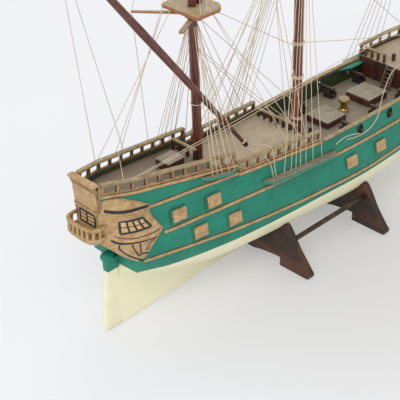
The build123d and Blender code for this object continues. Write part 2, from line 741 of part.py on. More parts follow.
# ---------------------------------------------------------------- deck fittings
HATCHES = [
    # x0, x1, half-width, deck height at its aft end, coaming height
    (-136.5, -113.0, 9.8, poop_z(-136.5) - POOP_SINK, 8.5),
    (121.5, 156.0, 17.2, WAIST_DECK_Z, 6.6),
    (200.5, 237.0, 18.2, WAIST_DECK_Z, 8.2),
]
PLANK_T = 1.6


def make_hatches():
    """Hatch coamings with their plank covers."""
    coamings = []
    planks = []
    for x0, x1, half, deck, tall in HATCHES:
        outer = block(x0, x1, -half, half, deck + 0.1, deck + tall)
        inner = block(x0 + 2.4, x1 - 2.4, -half + 2.4, half - 2.4, deck, deck + tall + 1)
        coamings.append(outer - inner)
        count = 7
        pitch = 2 * half / count
        for i in range(count):
            y = -half + pitch * (i + 0.5)
            planks.append(block(x0, x1, y - pitch / 2 + 0.15, y + pitch / 2 - 0.15,
                                deck + tall, deck + tall + PLANK_T))
    return {"hatch_coamings": coamings, "hatch_planks": planks}


CAPSTAN_X = 173.0
CAPSTAN_H = 17.5


def make_capstan():
    """Turned brass capstan: whelped barrel below a domed drumhead."""
    z0 = WAIST_DECK_Z
    profile = [
        (0, z0), (6.4, z0), (6.4, z0 + 1.6), (4.6, z0 + 3.4), (4.0, z0 + 7.0), (4.8, z0 + 11.0),
        (6.6, z0 + 12.2), (7.0, z0 + 14.0), (6.6, z0 + 15.8), (3.0, z0 + CAPSTAN_H), (0, z0 + CAPSTAN_H),
    ]
    face = make_face(Polyline(*[(r, 0, z) for r, z in profile], close=True))
    return Location((CAPSTAN_X, 0, 0)) * revolve(face, Axis.Z)


GUN_LENGTH = 30.0
GUN_AXIS_Z = 130.0
GUN_RUN_OUT = 3.0           # muzzle beyond the hull side
MUZZLE_R = 2.2
BREECH_R = 2.9
CARRIAGE_IN = 1.0           # carriage beyond the breech


def gun_at(x):
    """Barrel and stepped carriage of one gun run out through the port side."""
    muzzle_y = half_breadth(x, GUN_AXIS_Z) + GUN_RUN_OUT
    breech_y = muzzle_y - GUN_LENGTH
    barrel = spar((x, breech_y, GUN_AXIS_Z), (x, muzzle_y, GUN_AXIS_Z), BREECH_R, MUZZLE_R * 0.85)
    barrel += spar((x, muzzle_y - 2.0, GUN_AXIS_Z), (x, muzzle_y, GUN_AXIS_Z), MUZZLE_R, MUZZLE_R + 0.1)
    barrel += Location((x, breech_y - 0.8, GUN_AXIS_Z)) * Sphere(1.6)
    deck = WAIST_DECK_Z + 0.1
    bed_top = deck + 4.0
    carriage = block(x - 4.2, x + 4.2, breech_y - CARRIAGE_IN, breech_y + 13.0, deck + 1.6, bed_top)
    for side in (-1, 1):
        x0 = x + side * (BREECH_R + 1.2)
        cheek = block(x0 - 0.9, x0 + 0.9, breech_y + 3.0, breech_y + 13.0, bed_top - 0.1, GUN_AXIS_Z - 0.6)
        step = block(x0 - 0.9, x0 + 0.9, breech_y - CARRIAGE_IN, breech_y + 3.2, bed_top - 0.1, bed_top + 2.6)
        carriage += cheek + step
        for wheel_y in (breech_y + 1.8, breech_y + 10.4):
            hub = Location((x0 + side * 0.8, wheel_y, deck + 2.1), (0, 90, 0))
            carriage += hub * Cylinder(2.1, 1.8)
    return barrel, carriage


def make_guns():
    barrels = []
    carriages = []
    for x in PORT_XS:
        barrel, carriage = gun_at(x)
        barrels.append(barrel)
        carriages.append(carriage)
    return {"gun_barrels": mirrored(barrels), "gun_carriages": mirrored(carriages)}


LADDER_Y = -2.0
LADDER_HALF = 6.0


def make_ladder():
    """Steep ladder from the waist to the forecastle, two stringers and five rungs."""
    top_z = forecastle_z(FC_BREAK_X) - 1.0
    foot_x = 254.5
    head_x = FC_BREAK_X - BULKHEAD_T - 1.4
    foot_z = WAIST_DECK_Z + 0.1
    sides = []
    for y in (LADDER_Y - LADDER_HALF, LADDER_Y + LADDER_HALF):
        outline = [(foot_x - 2.6, foot_z), (foot_x + 0.6, foot_z), (head_x + 0.6, top_z), (head_x - 2.6, top_z)]
        face = make_face(Polyline(*[(x, y - 0.8, z) for x, z in outline], close=True))
        sides.append(extrude(face, amount=1.6, dir=(0, 1, 0)))
    ladder = sides[0] + sides[1]
    for i in range(5):
        share = (i + 0.7) / 5.2
        x = foot_x - 1.0 + (head_x - foot_x) * share
        z = foot_z + (top_z - foot_z) * share
        ladder += block(x - 1.1, x + 1.1, LADDER_Y - LADDER_HALF, LADDER_Y + LADDER_HALF, z - 0.6, z + 0.6)
    return ladder


def make_bitts():
    """Heavy posts standing on the forecastle and beside the main mast."""
    posts = []
    for x, y, tall in ((282.0, 8.0, 9.0), (282.0, -8.0, 9.0)):
        foot = forecastle_z(x) - FC_SINK + 0.3
        posts.append(block(x - 1.8, x + 1.8, y - 1.8, y + 1.8, foot, foot + tall))
    for y in (-9.5, 9.5):
        x = MAIN_X + 14.0
        posts.append(block(x - 1.5, x + 1.5, y - 1.5, y + 1.5, WAIST_DECK_Z + 0.1, WAIST_DECK_Z + 9.0))
    return posts


# ---------------------------------------------------------------- masts, tops and yards
class Mast:
    """Axis and sizes of one lower mast."""

    def __init__(self, x, deck, rake, diameter, top_z):
        self.x = x
        self.deck = deck
        self.rake = rake
        self.radius = diameter / 2
        self.top_z = top_z

    def axis(self, z, ahead=0.0):
        return (self.x - self.rake * (z - self.deck) + ahead, 0.0, z)


MIZZEN = Mast(MIZZEN_X, quarterdeck_z(MIZZEN_X) - QD_SINK, MIZZEN_RAKE, MIZZEN_D, MIZZEN_TOP_Z)
MAIN = Mast(MAIN_X, WAIST_DECK_Z, MAIN_RAKE, MAIN_D, MAIN_TOP_Z)
FORE = Mast(FORE_X, forecastle_z(FORE_X) - FC_SINK, FORE_RAKE, FORE_D, FORE_TOP_Z)
HEAD_RISE = 30.0            # masthead above its top
HOLE_GAP = 0.2
TOP_AFT = 19.0
TOP_FORE = 24.0
TOP_HALF = 26.0
TOP_FRONT_R = 15.0
TOP_BACK_R = 2.5


def head_radius(mast):
    return mast.radius * 0.78


def topmast_radius(mast):
    return mast.radius * 0.62


def topmast_ahead(mast):
    return head_radius(mast) + topmast_radius(mast) + 2.6


def lower_mast(mast):
    foot_gap = 0.25 + mast.radius * 0.12
    trunk = spar(mast.axis(mast.deck + foot_gap), mast.axis(mast.top_z - 0.5), mast.radius, mast.radius * 0.94)
    head = spar(mast.axis(mast.top_z - 1.0), mast.axis(mast.top_z + HEAD_RISE), head_radius(mast),
                head_radius(mast) * 0.95)
    return trunk + head


def mast_top(mast):
    """Platform with rounded forward corners on two pairs of crossed bearers."""
    x, _, z = mast.axis(mast.top_z)
    plate = block(x - TOP_AFT, x + TOP_FORE, -TOP_HALF, TOP_HALF, z, z + TOP_T)
    plate = fillet(plate.edges().filter_by(Axis.Z).group_by(Axis.X)[-1], TOP_FRONT_R)
    plate = fillet(plate.edges().filter_by(Axis.Z).group_by(Axis.X)[0], TOP_BACK_R)
    for y in (-mast.radius - 2.2, mast.radius + 2.2):
        plate += block(x - TOP_AFT + 3, x + TOP_FORE - 4, y - 1.5, y + 1.5, z - 3.0, z)
    for cx in (x - 11.0, x + 11.0 + mast.radius):
        plate += block(cx - 1.5, cx + 1.5, -TOP_HALF + 4, TOP_HALF - 4, z - 3.0, z)
    hole = spar(mast.axis(z - 6), mast.axis(z + 9), head_radius(mast) + HOLE_GAP, head_radius(mast) + HOLE_GAP)
    plate = plate - hole
    return plate - spar(mast.axis(z - 6), mast.axis(z - 0.2), mast.radius + HOLE_GAP, mast.radius + HOLE_GAP)


def mast_cap(mast):
    """Block that holds the topmast to the masthead."""
    z = mast.top_z + HEAD_RISE - 7.0
    ahead = topmast_ahead(mast)
    x = mast.axis(z)[0]
    cap = block(x - head_radius(mast) - 3, x + ahead + topmast_radius(mast) + 3, -mast.radius - 1.5,
                mast.radius + 1.5, z, z + 5.0)
    head = head_radius(mast) + HOLE_GAP
    pole = topmast_radius(mast) + HOLE_GAP
    cap = cap - spar(mast.axis(z - 2), mast.axis(z + 8), head, head)
    return cap - spar(mast.axis(z - 2, ahead), mast.axis(z + 8, ahead), pole, pole)


def upper_pole(mast, z0, z1, r0, r1, ahead, truck):
    pole = spar(mast.axis(z0, ahead), mast.axis(z1, ahead), r0, r1)
    if truck:
        pole += spar(mast.axis(z1 - 0.1, ahead), mast.axis(z1 + 2.2, ahead), 3.2, 2.6)
    return pole


def small_cap(mast, z, ahead_low, r_low, ahead_high, r_high):
    """Crosstree block between a topmast and the pole above it."""
    x = mast.axis(z)[0]
    cap = block(x + ahead_low - r_low - 2.5, x + ahead_high + r_high + 2.5, -r_low - 2.5, r_low + 2.5, z, z + 3.4)
    low = spar(mast.axis(z - 2, ahead_low), mast.axis(z + 6, ahead_low), r_low + HOLE_GAP, r_low + HOLE_GAP)
    high = spar(mast.axis(z - 2, ahead_high), mast.axis(z + 6, ahead_high), r_high + HOLE_GAP, r_high + HOLE_GAP)
    return cap - low - high


MIZZEN_POLE_Z = 468.0
MAIN_TOPMAST_Z = 512.0
MAIN_POLE_Z = 600.0
FORE_TOPMAST_Z = 490.0
FORE_POLE_Z = 572.0
DOUBLING = 24.0             # overlap of a topgallant pole on its topmast
TOPMAST_TAPER = 0.8         # head radius of a topmast as a share of its foot radius
MIZZEN_TRUCK_R = 1.8        # radius at the head of the mizzen's single pole


def make_masts():
    """Lower masts, tops, topmasts, poles and the caps that join them."""
    lower = (MIZZEN, MAIN, FORE)
    caps = [mast_cap(mast) for mast in lower]
    foot = TOP_T + 0.6
    ahead = topmast_ahead(MIZZEN)
    r = topmast_radius(MIZZEN)
    topmasts = [upper_pole(MIZZEN, MIZZEN.top_z + foot, MIZZEN_POLE_Z, r, MIZZEN_TRUCK_R, ahead, True)]
    poles = []
    for mast, topmast_z, pole_z in (
        (MAIN, MAIN_TOPMAST_Z, MAIN_POLE_Z), (FORE, FORE_TOPMAST_Z, FORE_POLE_Z),
    ):
        ahead = topmast_ahead(mast)
        r = topmast_radius(mast)
        low_r = r * TOPMAST_TAPER
        topmasts.append(upper_pole(mast, mast.top_z + foot, topmast_z, r, low_r, ahead, False))
        pole_ahead = ahead + low_r + 4.8
        pole_foot = topmast_z - DOUBLING
        poles.append(upper_pole(mast, pole_foot, pole_z, 2.2, 1.3, pole_ahead, True))
        r_there = low_r + 0.25
        caps.append(small_cap(mast, pole_foot + 1.5, ahead, r_there, pole_ahead, 2.2))
        caps.append(small_cap(mast, topmast_z - 6.0, ahead, low_r + 0.1, pole_ahead, 2.2))
    return {
        "mizzen_mast": lower_mast(MIZZEN), "main_mast": lower_mast(MAIN), "fore_mast": lower_mast(FORE),
        "mast_tops": [mast_top(mast) for mast in lower], "topmasts": topmasts,
        "topgallant_poles": poles, "mast_caps": caps,
    }


def topmast_radius_at(mast, z):
    """Radius of the tapered topmast at height z."""
    foot_z = mast.top_z + TOP_T
    head_z = {MIZZEN: MIZZEN_POLE_Z, MAIN: MAIN_TOPMAST_Z, FORE: FORE_TOPMAST_Z}[mast]
    foot_r = topmast_radius(mast)
    head_r = MIZZEN_TRUCK_R if mast is MIZZEN else foot_r * TOPMAST_TAPER
    return foot_r + (head_r - foot_r) * (z - foot_z) / (head_z - foot_z)


def yard_x(name):
    """X of a square yard's axis, lying against the fore side of its mast."""
    mast, z, _, r_mid, _, on_topmast = SQUARE_YARDS[name]
    if on_topmast:
        ahead = topmast_ahead(mast) + topmast_radius_at(mast, z)
    else:
        ahead = mast.radius
    return mast.axis(z)[0] + ahead + r_mid + 0.35


def square_yard(name):
    _, z, half, r_mid, r_end, _ = SQUARE_YARDS[name]
    x = yard_x(name)
    yard = spar((x, 0, z), (x, half, z), r_mid, r_end)
    return yard + spar((x, 0, z), (x, -half, z), r_mid, r_end)


SQUARE_YARDS = {
    # mast, height, half-length, middle radius, end radius, on the topmast
    "mizzen_topsail_yard": (MIZZEN, 436.0, 62.0, 2.4, 1.2, True),
    "main_yard": (MAIN, 374.0, 112.0, 3.9, 2.0, False),
    "main_topsail_yard": (MAIN, 478.0, 78.0, 3.0, 1.5, True),
    "fore_yard": (FORE, 358.0, 104.0, 3.7, 1.9, False),
    "fore_topsail_yard": (FORE, 457.0, 72.0, 2.9, 1.4, True),
}
YARD_TIP = (-25.0, -18.0, 158.5)
YARD_PEAK = (-252.0, 10.0, 448.0)
YARD_TIP_R = 1.9
YARD_SLING_R = 3.7
YARD_FAT_R = 4.5
YARD_PEAK_R = 2.6


def between(a, b, share):
    return tuple(p + (q - p) * share for p, q in zip(a, b))


def make_yards():
    square = [square_yard(name) for name in SQUARE_YARDS]
    sling = between(YARD_TIP, YARD_PEAK, 0.3)
    fat = between(YARD_TIP, YARD_PEAK, 0.6)
    lateen = spar(YARD_TIP, sling, YARD_TIP_R, YARD_SLING_R)
    lateen += spar(sling, fat, YARD_SLING_R, YARD_FAT_R)
    lateen += spar(fat, YARD_PEAK, YARD_FAT_R, YARD_PEAK_R)
    return {"square_yards": square, "lateen_yard": lateen}


BOWSPRIT_R = 5.2
BOWSPRIT_RISE = 0.43
BOWSPRIT_SEAT_Z = 157.34    # underside of the bowsprit at its foot, close above the stem
BOWSPRIT_FOOT = (404.0, 0.0, BOWSPRIT_SEAT_Z + BOWSPRIT_R * math.hypot(1.0, BOWSPRIT_RISE))
BOWSPRIT_END_X = 498.0


def bowsprit_z(x):
    return BOWSPRIT_FOOT[2] + BOWSPRIT_RISE * (x - BOWSPRIT_FOOT[0])


def make_bowsprit():
    end = (BOWSPRIT_END_X, 0.0, bowsprit_z(BOWSPRIT_END_X))
    bowsprit = spar(BOWSPRIT_FOOT, end, BOWSPRIT_R, BOWSPRIT_R * 0.7)
    lift = BOWSPRIT_R + 3.4
    boom_foot = (462.0, 0.0, bowsprit_z(462.0) + lift)
    slope = math.hypot(1.0, BOWSPRIT_RISE)
    boom_end_x = JIBBOOM_TIP - 1.6 * BOWSPRIT_RISE / slope
    boom_end = (boom_end_x, 0.0, bowsprit_z(boom_end_x) + lift - 1.0)
    jibboom = spar(boom_foot, boom_end, 2.8, 1.6)
    x = 490.0
    cap = block(x - 2.5, x + 2.5, -6.0, 6.0, bowsprit_z(x) - 6.0, bowsprit_z(x) + lift + 6.0)
    bore = BOWSPRIT_R * 0.74 + HOLE_GAP
    cap = cap - spar((x - 9, 0, bowsprit_z(x - 9)), (x + 9, 0, bowsprit_z(x + 9)), bore, bore)
    cap = cap - spar(boom_foot, boom_end, 2.9 + HOLE_GAP, 2.9 + HOLE_GAP)
    return {"bowsprit": bowsprit, "jibboom": jibboom, "bowsprit_cap": cap}


def make_outriggers():
    """Rod and holed lath under the mizzen top that spread its backstays."""
    x, _, z = MIZZEN.axis(MIZZEN.top_z)
    rod = spar((x - 6.0, 9.1, z - 5.2), (x - 40.0, 47.0, z - 5.2), 1.8, 1.5)
    direction = Location((x - 14.0, -12.0, z - 4.4), (0, 0, 180 + 27))
    lath = direction * Location((14.0, 0, 0)) * Box(36.0, 5.2, 1.8)
    lath = fillet(lath.edges().filter_by(Axis.Z), 2.2)
    hole = direction * Location((29.0, 0, 0)) * Cylinder(0.8, 4.0)
    return [rod, lath - hole]


def ring(mast, z, tall):
    """Turns of thread served round a mast."""
    outer = mast.radius + 0.9
    inner = mast.radius + 0.1
    return spar(mast.axis(z), mast.axis(z + tall), outer, outer) - spar(
        mast.axis(z - 1), mast.axis(z + tall + 1), inner, inner)


def make_woldings():
    return [ring(MAIN, z, 3.2) for z in (144.0, 198.0, 241.0)] + [ring(MIZZEN, 226.0, 2.4)]


# ---------------------------------------------------------------- standing and running rigging
SHROUD_FEET = {
    # mast, places along X, drop below the top, distance outboard of the hull side
    "mizzen": (MIZZEN, [-105.0, -98.5, -92.0, -82.0, -74.0], 17.0, 5.2),
    "main": (MAIN, [-4.0, 7.0, 14.5, 22.0, 31.0, 43.0, 58.0], 8.0, 5.0),
    "fore": (FORE, [252.0, 264.0, 276.0, 288.0, 300.0, 312.0], 8.0, 7.6),
}
SHROUD_SPACING = 1.5


def channel_top(name, x):
    x0, x1, z0, z1, _ = CHANNELS[name]
    return z0 + (z1 - z0) * (x - x0) / (x1 - x0)


def mast_side(mast, z, offset):
    """Point on the port side of a mast at height z, offset along X from its axis."""
    x = mast.axis(z)[0] + offset
    reach = mast.radius + THREAD_D / 2
    y = math.sqrt(reach ** 2 - offset ** 2)
    return (x, y, z)


def make_shrouds():
    """Lines from the channels up to each lower mast's head."""
    lines = []
    for name, (mast, feet, drop, out) in SHROUD_FEET.items():
        middle = (len(feet) - 1) / 2
        for i, x in enumerate(feet):
            z = channel_top(name, x)
            foot = (x, half_breadth(x, z) + out, z)
            head = mast_side(mast, mast.top_z - drop, (i - middle) * SHROUD_SPACING)
            lines.append(line(foot, head, LINE_GAP, LINE_GAP))
    return mirrored(lines)


def rail_point(name, x, side=1):
    """Point on top of an open rail's cap."""
    _, _, rim, height = RAIL_RUNS[name]
    z = rim(x) + height
    return (x, side * (side_breadth(x, z) - 0.4), z + THREAD_D / 2)


def pole_front(mast, z, ahead=0.0, radius=0.0):
    """Point just ahead of a mast or pole at height z."""
    x, y, z = mast.axis(z, ahead)
    return (x + radius, y, z)


def make_topmast_shrouds():
    """Three lines a side from each top's edge to its topmast."""
    lines = []
    for mast, z in ((MIZZEN, 446.0), (MAIN, 482.0), (FORE, 462.0)):
        top_x = mast.axis(mast.top_z)[0]
        ahead = topmast_ahead(mast)
        reach = topmast_radius(mast) + THREAD_D
        for i, foot_x in enumerate((-12.0, -2.0, 8.0)):
            foot = (top_x + foot_x, TOP_HALF - 2.5, mast.top_z + TOP_T)
            x, _, z_head = mast.axis(z - 4.0 * i, ahead)
            lines.append(line(foot, (x, reach, z_head)))
    return mirrored(lines)


def make_stays():
    """Fore-and-aft lines ahead of each mast."""
    topmast = {mast: topmast_ahead(mast) + topmast_radius(mast) + 0.5 for mast in (MIZZEN, MAIN, FORE)}
    sprit_x = 474.0
    tip_x = JIBBOOM_TIP - 5.0
    pairs = [
        (pole_front(MIZZEN, 327.0, 0, MIZZEN.radius + 0.3), (MAIN.axis(168.0)[0] - MAIN.radius - 0.5, 0, 168.0)),
        (pole_front(MAIN, 364.0, 0, MAIN.radius + 0.3), (FORE.axis(190.0)[0] - FORE.radius - 0.5, 0, 190.0)),
        (pole_front(FORE, 348.0, 0, FORE.radius + 0.3), (442.0, 0, bowsprit_z(442.0) + BOWSPRIT_R + 0.6)),
        (pole_front(MAIN, 240.0, 0, MAIN.radius + 0.3), (FORE.axis(181.5)[0] - FORE.radius - 0.5, 0, 181.5)),
        (pole_front(MIZZEN, 455.0, 0, topmast[MIZZEN]), (MAIN.axis(380.0)[0] - MAIN.radius - 0.2, 0, 380.0)),
        (pole_front(MAIN, 470.0, 0, topmast[MAIN]), (FORE.axis(395.0)[0] - head_radius(FORE) - 0.5, 0, 395.0)),
        (pole_front(FORE, 449.0, 0, topmast[FORE]), (sprit_x, 0, bowsprit_z(sprit_x) + 12.6)),
        (pole_front(FORE, 566.0, topmast_ahead(FORE) + 9.0, 1.8), (tip_x, 0, jib_top(tip_x))),
    ]
    return [line(a, b, 0.4, 0.4) for a, b in pairs]


def jib_top(x):
    """Upper side of the jibboom near its tip."""
    return bowsprit_z(x) + BOWSPRIT_R + 3.4 + 1.2


def make_vangs():
    """Lines from the lateen yard's peak and the mizzen top to the port poop rail."""
    x, y, z = YARD_PEAK
    top_x = MIZZEN.axis(MIZZEN.top_z)[0]
    edge = (top_x - TOP_AFT - 0.9, MIZZEN.top_z + 1.0)
    topmast_x = MIZZEN.axis(440.0, topmast_ahead(MIZZEN) - topmast_radius(MIZZEN) - 0.8)[0]
    outrigger = (top_x - 39.4, 46.3, MIZZEN.top_z - 5.2)
    yard_arm = (yard_x("mizzen_topsail_yard"), 57.0, 434.7)
    return [
        line((x + 2.0, y + 2.4, z - 6.0), rail_point("poop", -207.0)),
        line((x + 6.0, y + 3.0, z - 9.0), rail_point("poop", -164.0)),
        line((edge[0], 10.5, edge[1]), rail_point("poop", -203.0)),
        line((edge[0], 20.0, edge[1]), rail_point("poop", -176.0)),
        line((topmast_x, 2.0, 440.0), rail_point("poop", -168.5)),
        line((outrigger[0], outrigger[1], outrigger[2] - 2.0), rail_point("poop", -125.0)),
        line((outrigger[0], outrigger[1], outrigger[2] + 2.0), yard_arm),
        line(rail_point("poop", -172.0), rail_point("poop", -212.0, -1), 0.8, 0.8),
    ]


def make_long_lines():
    """Two parallel lines from the starboard poop rail forward to the foremast."""
    lines = []
    for i, x in enumerate((-197.0, -190.0)):
        foot_x, foot_y, foot_z = rail_point("poop", x, -1)
        head = (FORE.axis(205.0)[0] - 2.0 + 3.0 * i, -FORE.radius - 0.9, 206.5 - 3.0 * i)
        lines.append(line((foot_x, foot_y, foot_z + 0.3), head, 0.3, 0.3))
    return lines


def make_running_lines():
    """Lines between the mizzen top, the main mast and the quarterdeck rails."""
    top_x = MIZZEN.axis(MIZZEN.top_z)[0]
    under = MIZZEN.top_z - 3.6
    main_x = MAIN.axis(240.0)[0] - MAIN.radius - 0.5
    return [
        line((top_x + TOP_FORE - 5.0, -6.0, under), (main_x, -2.0, 240.0), 0.3, 0.3),
        line((top_x + TOP_FORE - 9.0, -12.0, under), rail_point("quarterdeck", 33.0, -1), 0.3, 0.3),
        line((top_x + TOP_FORE - 12.0, -17.0, under), rail_point("quarterdeck", 12.0, -1), 0.3, 0.3),
        line((top_x + TOP_FORE - 9.0, 12.0, under), rail_point("quarterdeck", 41.0), 0.3, 0.3),
        line((top_x + TOP_FORE - 12.0, 16.0, under), rail_point("quarterdeck", 26.0), 0.3, 0.3),
        line((top_x + TOP_FORE - 16.0, 20.0, under), rail_point("quarterdeck", 5.0), 0.3, 0.3),
    ]


def make_lifts():
    """Lines from each square yard's arms up to its mast."""
    lines = []
    for name, (mast, z, half, r_mid, r_end, on_topmast) in SQUARE_YARDS.items():
        x = yard_x(name)
        share = 0.93
        radius = r_mid + (r_end - r_mid) * share + 0.7
        head_z = z + half * 0.34 + 8.0
        if name == "main_yard":
            head_z = MAIN.top_z + HEAD_RISE + 6.0
        if name == "fore_yard":
            head_z = FORE.top_z + HEAD_RISE + 6.0
        pole = topmast_ahead(mast) if on_topmast or name in ("main_yard", "fore_yard") else 0.0
        head = (mast.axis(head_z, pole)[0], topmast_radius_at(mast, head_z) + THREAD_D, head_z)
        lines.append(line((x, half * share, z + radius), head, 0.3, 0.4))
    return mirrored(lines)


# ---------------------------------------------------------------- loose cord ends
CORD_D = 1.0
CORD_ROUTES = {
    "yard_tip_cord": [
        (-26.5, -21.6, 158.5), (-22.5, -28.5, 162.8), (-18.0, -37.5, 164.3), (-15.0, -46.8, 163.0),
        (-14.6, -50.2, 155.5), (-15.8, -52.2, 147.0), (-16.5, -54.2, 138.0), (-15.5, -55.6, 129.4),
    ],
    "yard_tip_cord_short": [
        (-27.4, -23.0, 156.6), (-24.5, -31.0, 155.6), (-23.0, -40.5, 153.6), (-22.2, -49.5, 150.6),
        (-21.0, -53.0, 143.0), (-19.4, -55.0, 129.7),
    ],
    "waist_loose_cord": [
        (265.5, -19.5, 160.5), (250.0, -21.0, 160.6), (234.0, -24.0, 158.8), (220.4, -29.0, 153.8),
        (207.8, -34.0, 148.8), (196.0, -40.0, 145.6), (183.5, -47.5, 144.8), (171.0, -55.2, 144.8),
        (161.5, -61.0, 140.6), (150.5, -62.6, 132.5), (138.5, -62.6, 128.4), (124.0, -61.2, 126.8),
        (112.0, -60.2, 127.8), (103.0, -59.9, 130.4),
    ],
    "port_hole_cord": [
        (129.1, -54.6, 125.9), (129.0, -59.8, 127.4), (125.2, -62.4, 130.2), (119.4, -61.8, 132.2),
        (110.0, -60.2, 133.6), (101.0, -59.6, 134.2), (92.0, -59.2, 133.6), (84.5, -59.0, 130.6),
    ],
}


def corner_radii(points):
    """Radius of each corner: 0.45 of the shorter run over the tangent of half the turn."""
    radii = []
    for a, b, c in zip(points, points[1:], points[2:]):
        before = Vector(*b) - Vector(*a)
        after = Vector(*c) - Vector(*b)
        half_turn = math.radians(before.get_angle(after)) / 2
        radii.append(0.45 * min(before.length, after.length) / math.tan(half_turn))
    return radii


def cord_tube(name, points):
    """Round cord along straight runs joined by tangent arcs."""
    radii = corner_radii(points)
    path = FilletPolyline(*points, radius=radii)
    section = Plane(origin=path @ 0, z_dir=path % 0) * Circle(CORD_D / 2)
    tube = sweep(section, path=path)
    expected = path.length * math.pi * CORD_D ** 2 / 4
    print(name, "length", round(path.length, 1), "radii", [round(r, 1) for r in radii],
          "volume ratio", round(tube.volume / expected, 4))
    return tube


# ---------------------------------------------------------------- cradle stand
def cradle_opening(x):
    """Prism that clears the hull over one board's thickness, seat gap included."""
    front = hull_points(x + BOARD_T)
    back = hull_points(x)
    points = []
    for (ya, za), (yb, zb) in zip(back, front):
        points.append((max(ya, yb) + SEAT_GAP, min(za, zb) - SEAT_GAP))
    points = points[:5] + [(points[4][0], 130.0)]
    face = section_face(x - 1.0, points)
    return extrude(face, amount=BOARD_T + 2.0, dir=(1, 0, 0))


def make_board(x, foot_out):
    """One cradle board: two splayed feet, arched underside, top cut to the hull."""
    chine_y, chine_z = hull_points(x)[3]
    horn_y = chine_y + 3.0
    horn_z = chine_z - HORN_RISE
    bottom = Polyline(
        (x, 0, UNDER_MID_Z), (x, 12.0, UNDER_MID_Z), (x, 24.0, UNDER_MID_Z + 3.0),
        (x, FOOT_IN - 8.0, FOOT_NOTCH_Z - 0.2), (x, FOOT_IN, FOOT_NOTCH_Z), (x, FOOT_IN, 0),
        (x, foot_out - 5.0, 0),
    )
    toe = ThreePointArc((x, foot_out - 5.0, 0), (x, foot_out, 3.4), (x, foot_out - 2.6, 9.0))
    flank = Spline(
        (x, foot_out - 2.6, 9.0), (x, foot_out - 12.0, 20.5), (x, (foot_out + horn_y) / 2 - 2.0, 32.0),
        (x, horn_y + 6.5, horn_z - 8.0), (x, horn_y, horn_z),
    )
    crown = Polyline(
        (x, horn_y, horn_z), (x, chine_y - 6.0, horn_z + 1.0), (x, 0, horn_z + 1.0), (x, 0, UNDER_MID_Z),
    )
    half = extrude(make_face([bottom, toe, flank, crown]), amount=BOARD_T, dir=(1, 0, 0))
    board = half + half.mirror(Plane.XZ)
    board = board - cradle_opening(x)
    return max(board.solids(), key=lambda solid: solid.volume)


def make_stand():
    fore_x = BOARD_PITCH
    dowels = []
    for side in (-1, 1):
        y = side * abs(DOWEL_Y)
        dowels.append(spar((BOARD_T, y, DOWEL_Z), (fore_x, y, DOWEL_Z), DOWEL_D / 2, DOWEL_D / 2))
    pins = []
    for x in (0.0, fore_x):
        for side in (-1, 1):
            y = side * (FOOT_IN + 4.5)
            pins.append(spar((x - 0.55, y, 7.5), (x - 0.05, y, 7.5), PIN_D / 2, PIN_D / 2))
    return {
        "cradle_board_aft": make_board(0.0, FOOT_OUT),
        "cradle_board_fore": make_board(fore_x, FOOT_OUT + FORE_BOARD_EXTRA),
        "stand_dowels": dowels, "stand_pins": pins,
    }


# ---------------------------------------------------------------- assembly
def build():
    """Every node by name."""
    parts = make_hull()
    parts["sternpost"] = make_sternpost()
    parts["rudder"] = make_rudder()
    parts["counter_plate"] = make_counter_plate()
    parts["stem"] = make_stem() - parts["hull_lower"] - parts["hull_upper_fore"] + make_head_scroll()
    parts["transom"] = make_transom() - parts["hull_stern_block"]
    parts["taffrail_cap"] = make_taffrail_cap() - parts["transom"]
    parts.update(make_balcony())
    beside = ["hull_stern_block", "hull_upper_aft", "hull_lower", "poop_deck", "transom", "counter_plate"]
    gallery = make_gallery([parts[name] for name in beside])
    parts["quarter_galleries"] = mirrored([gallery])
    upper = ("poop_deck", "quarterdeck", "forecastle_deck")
    parts["upper_decks"] = [parts.pop(name) for name in upper]
    parts["wales"] = make_wales()
    parts["deck_edge_strips"] = make_strips()
    parts["gunport_lids"], parts["lid_backings"] = make_lids()
    parts["channels"] = mirrored([channel(*ends) for ends in CHANNELS.values()])
    side_caps, parts["rail_posts"] = make_rails()
    cross_caps, parts["cross_rail_posts"] = make_cross_rails()
    parts["rail_caps"] = side_caps + cross_caps
    parts.update(make_hatches())
    parts["capstan"] = make_capstan()
    parts.update(make_guns())
    parts["forecastle_ladder"] = make_ladder()
    parts["bitts"] = make_bitts()
    parts.update(make_masts())
    parts.update(make_yards())
    parts.update(make_bowsprit())
    parts["outriggers"] = make_outriggers()
    parts["mast_woldings"] = make_woldings()
    parts["lower_shrouds"] = make_shrouds()
    parts["topmast_shrouds"] = make_topmast_shrouds()
    parts["stays"] = make_stays()
    parts["vangs"] = make_vangs()
    parts["running_lines"] = make_long_lines() + make_running_lines() + make_lifts()
    for name, points in CORD_ROUTES.items():
        parts[name] = cord_tube(name, points)
    parts.update(make_stand())
    return parts


def main():
    os.makedirs("parts", exist_ok=True)
    for name, shape in build().items():
        node = Compound(children=solids(shape)) if len(solids(shape)) > 1 else solids(shape)[0]
        export_step(Location((-MID_X, 0, 0)) * node, "parts/" + name + ".step")


main()
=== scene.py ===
import math
import random

import bmesh
import bpy
from mathutils import Matrix, Vector


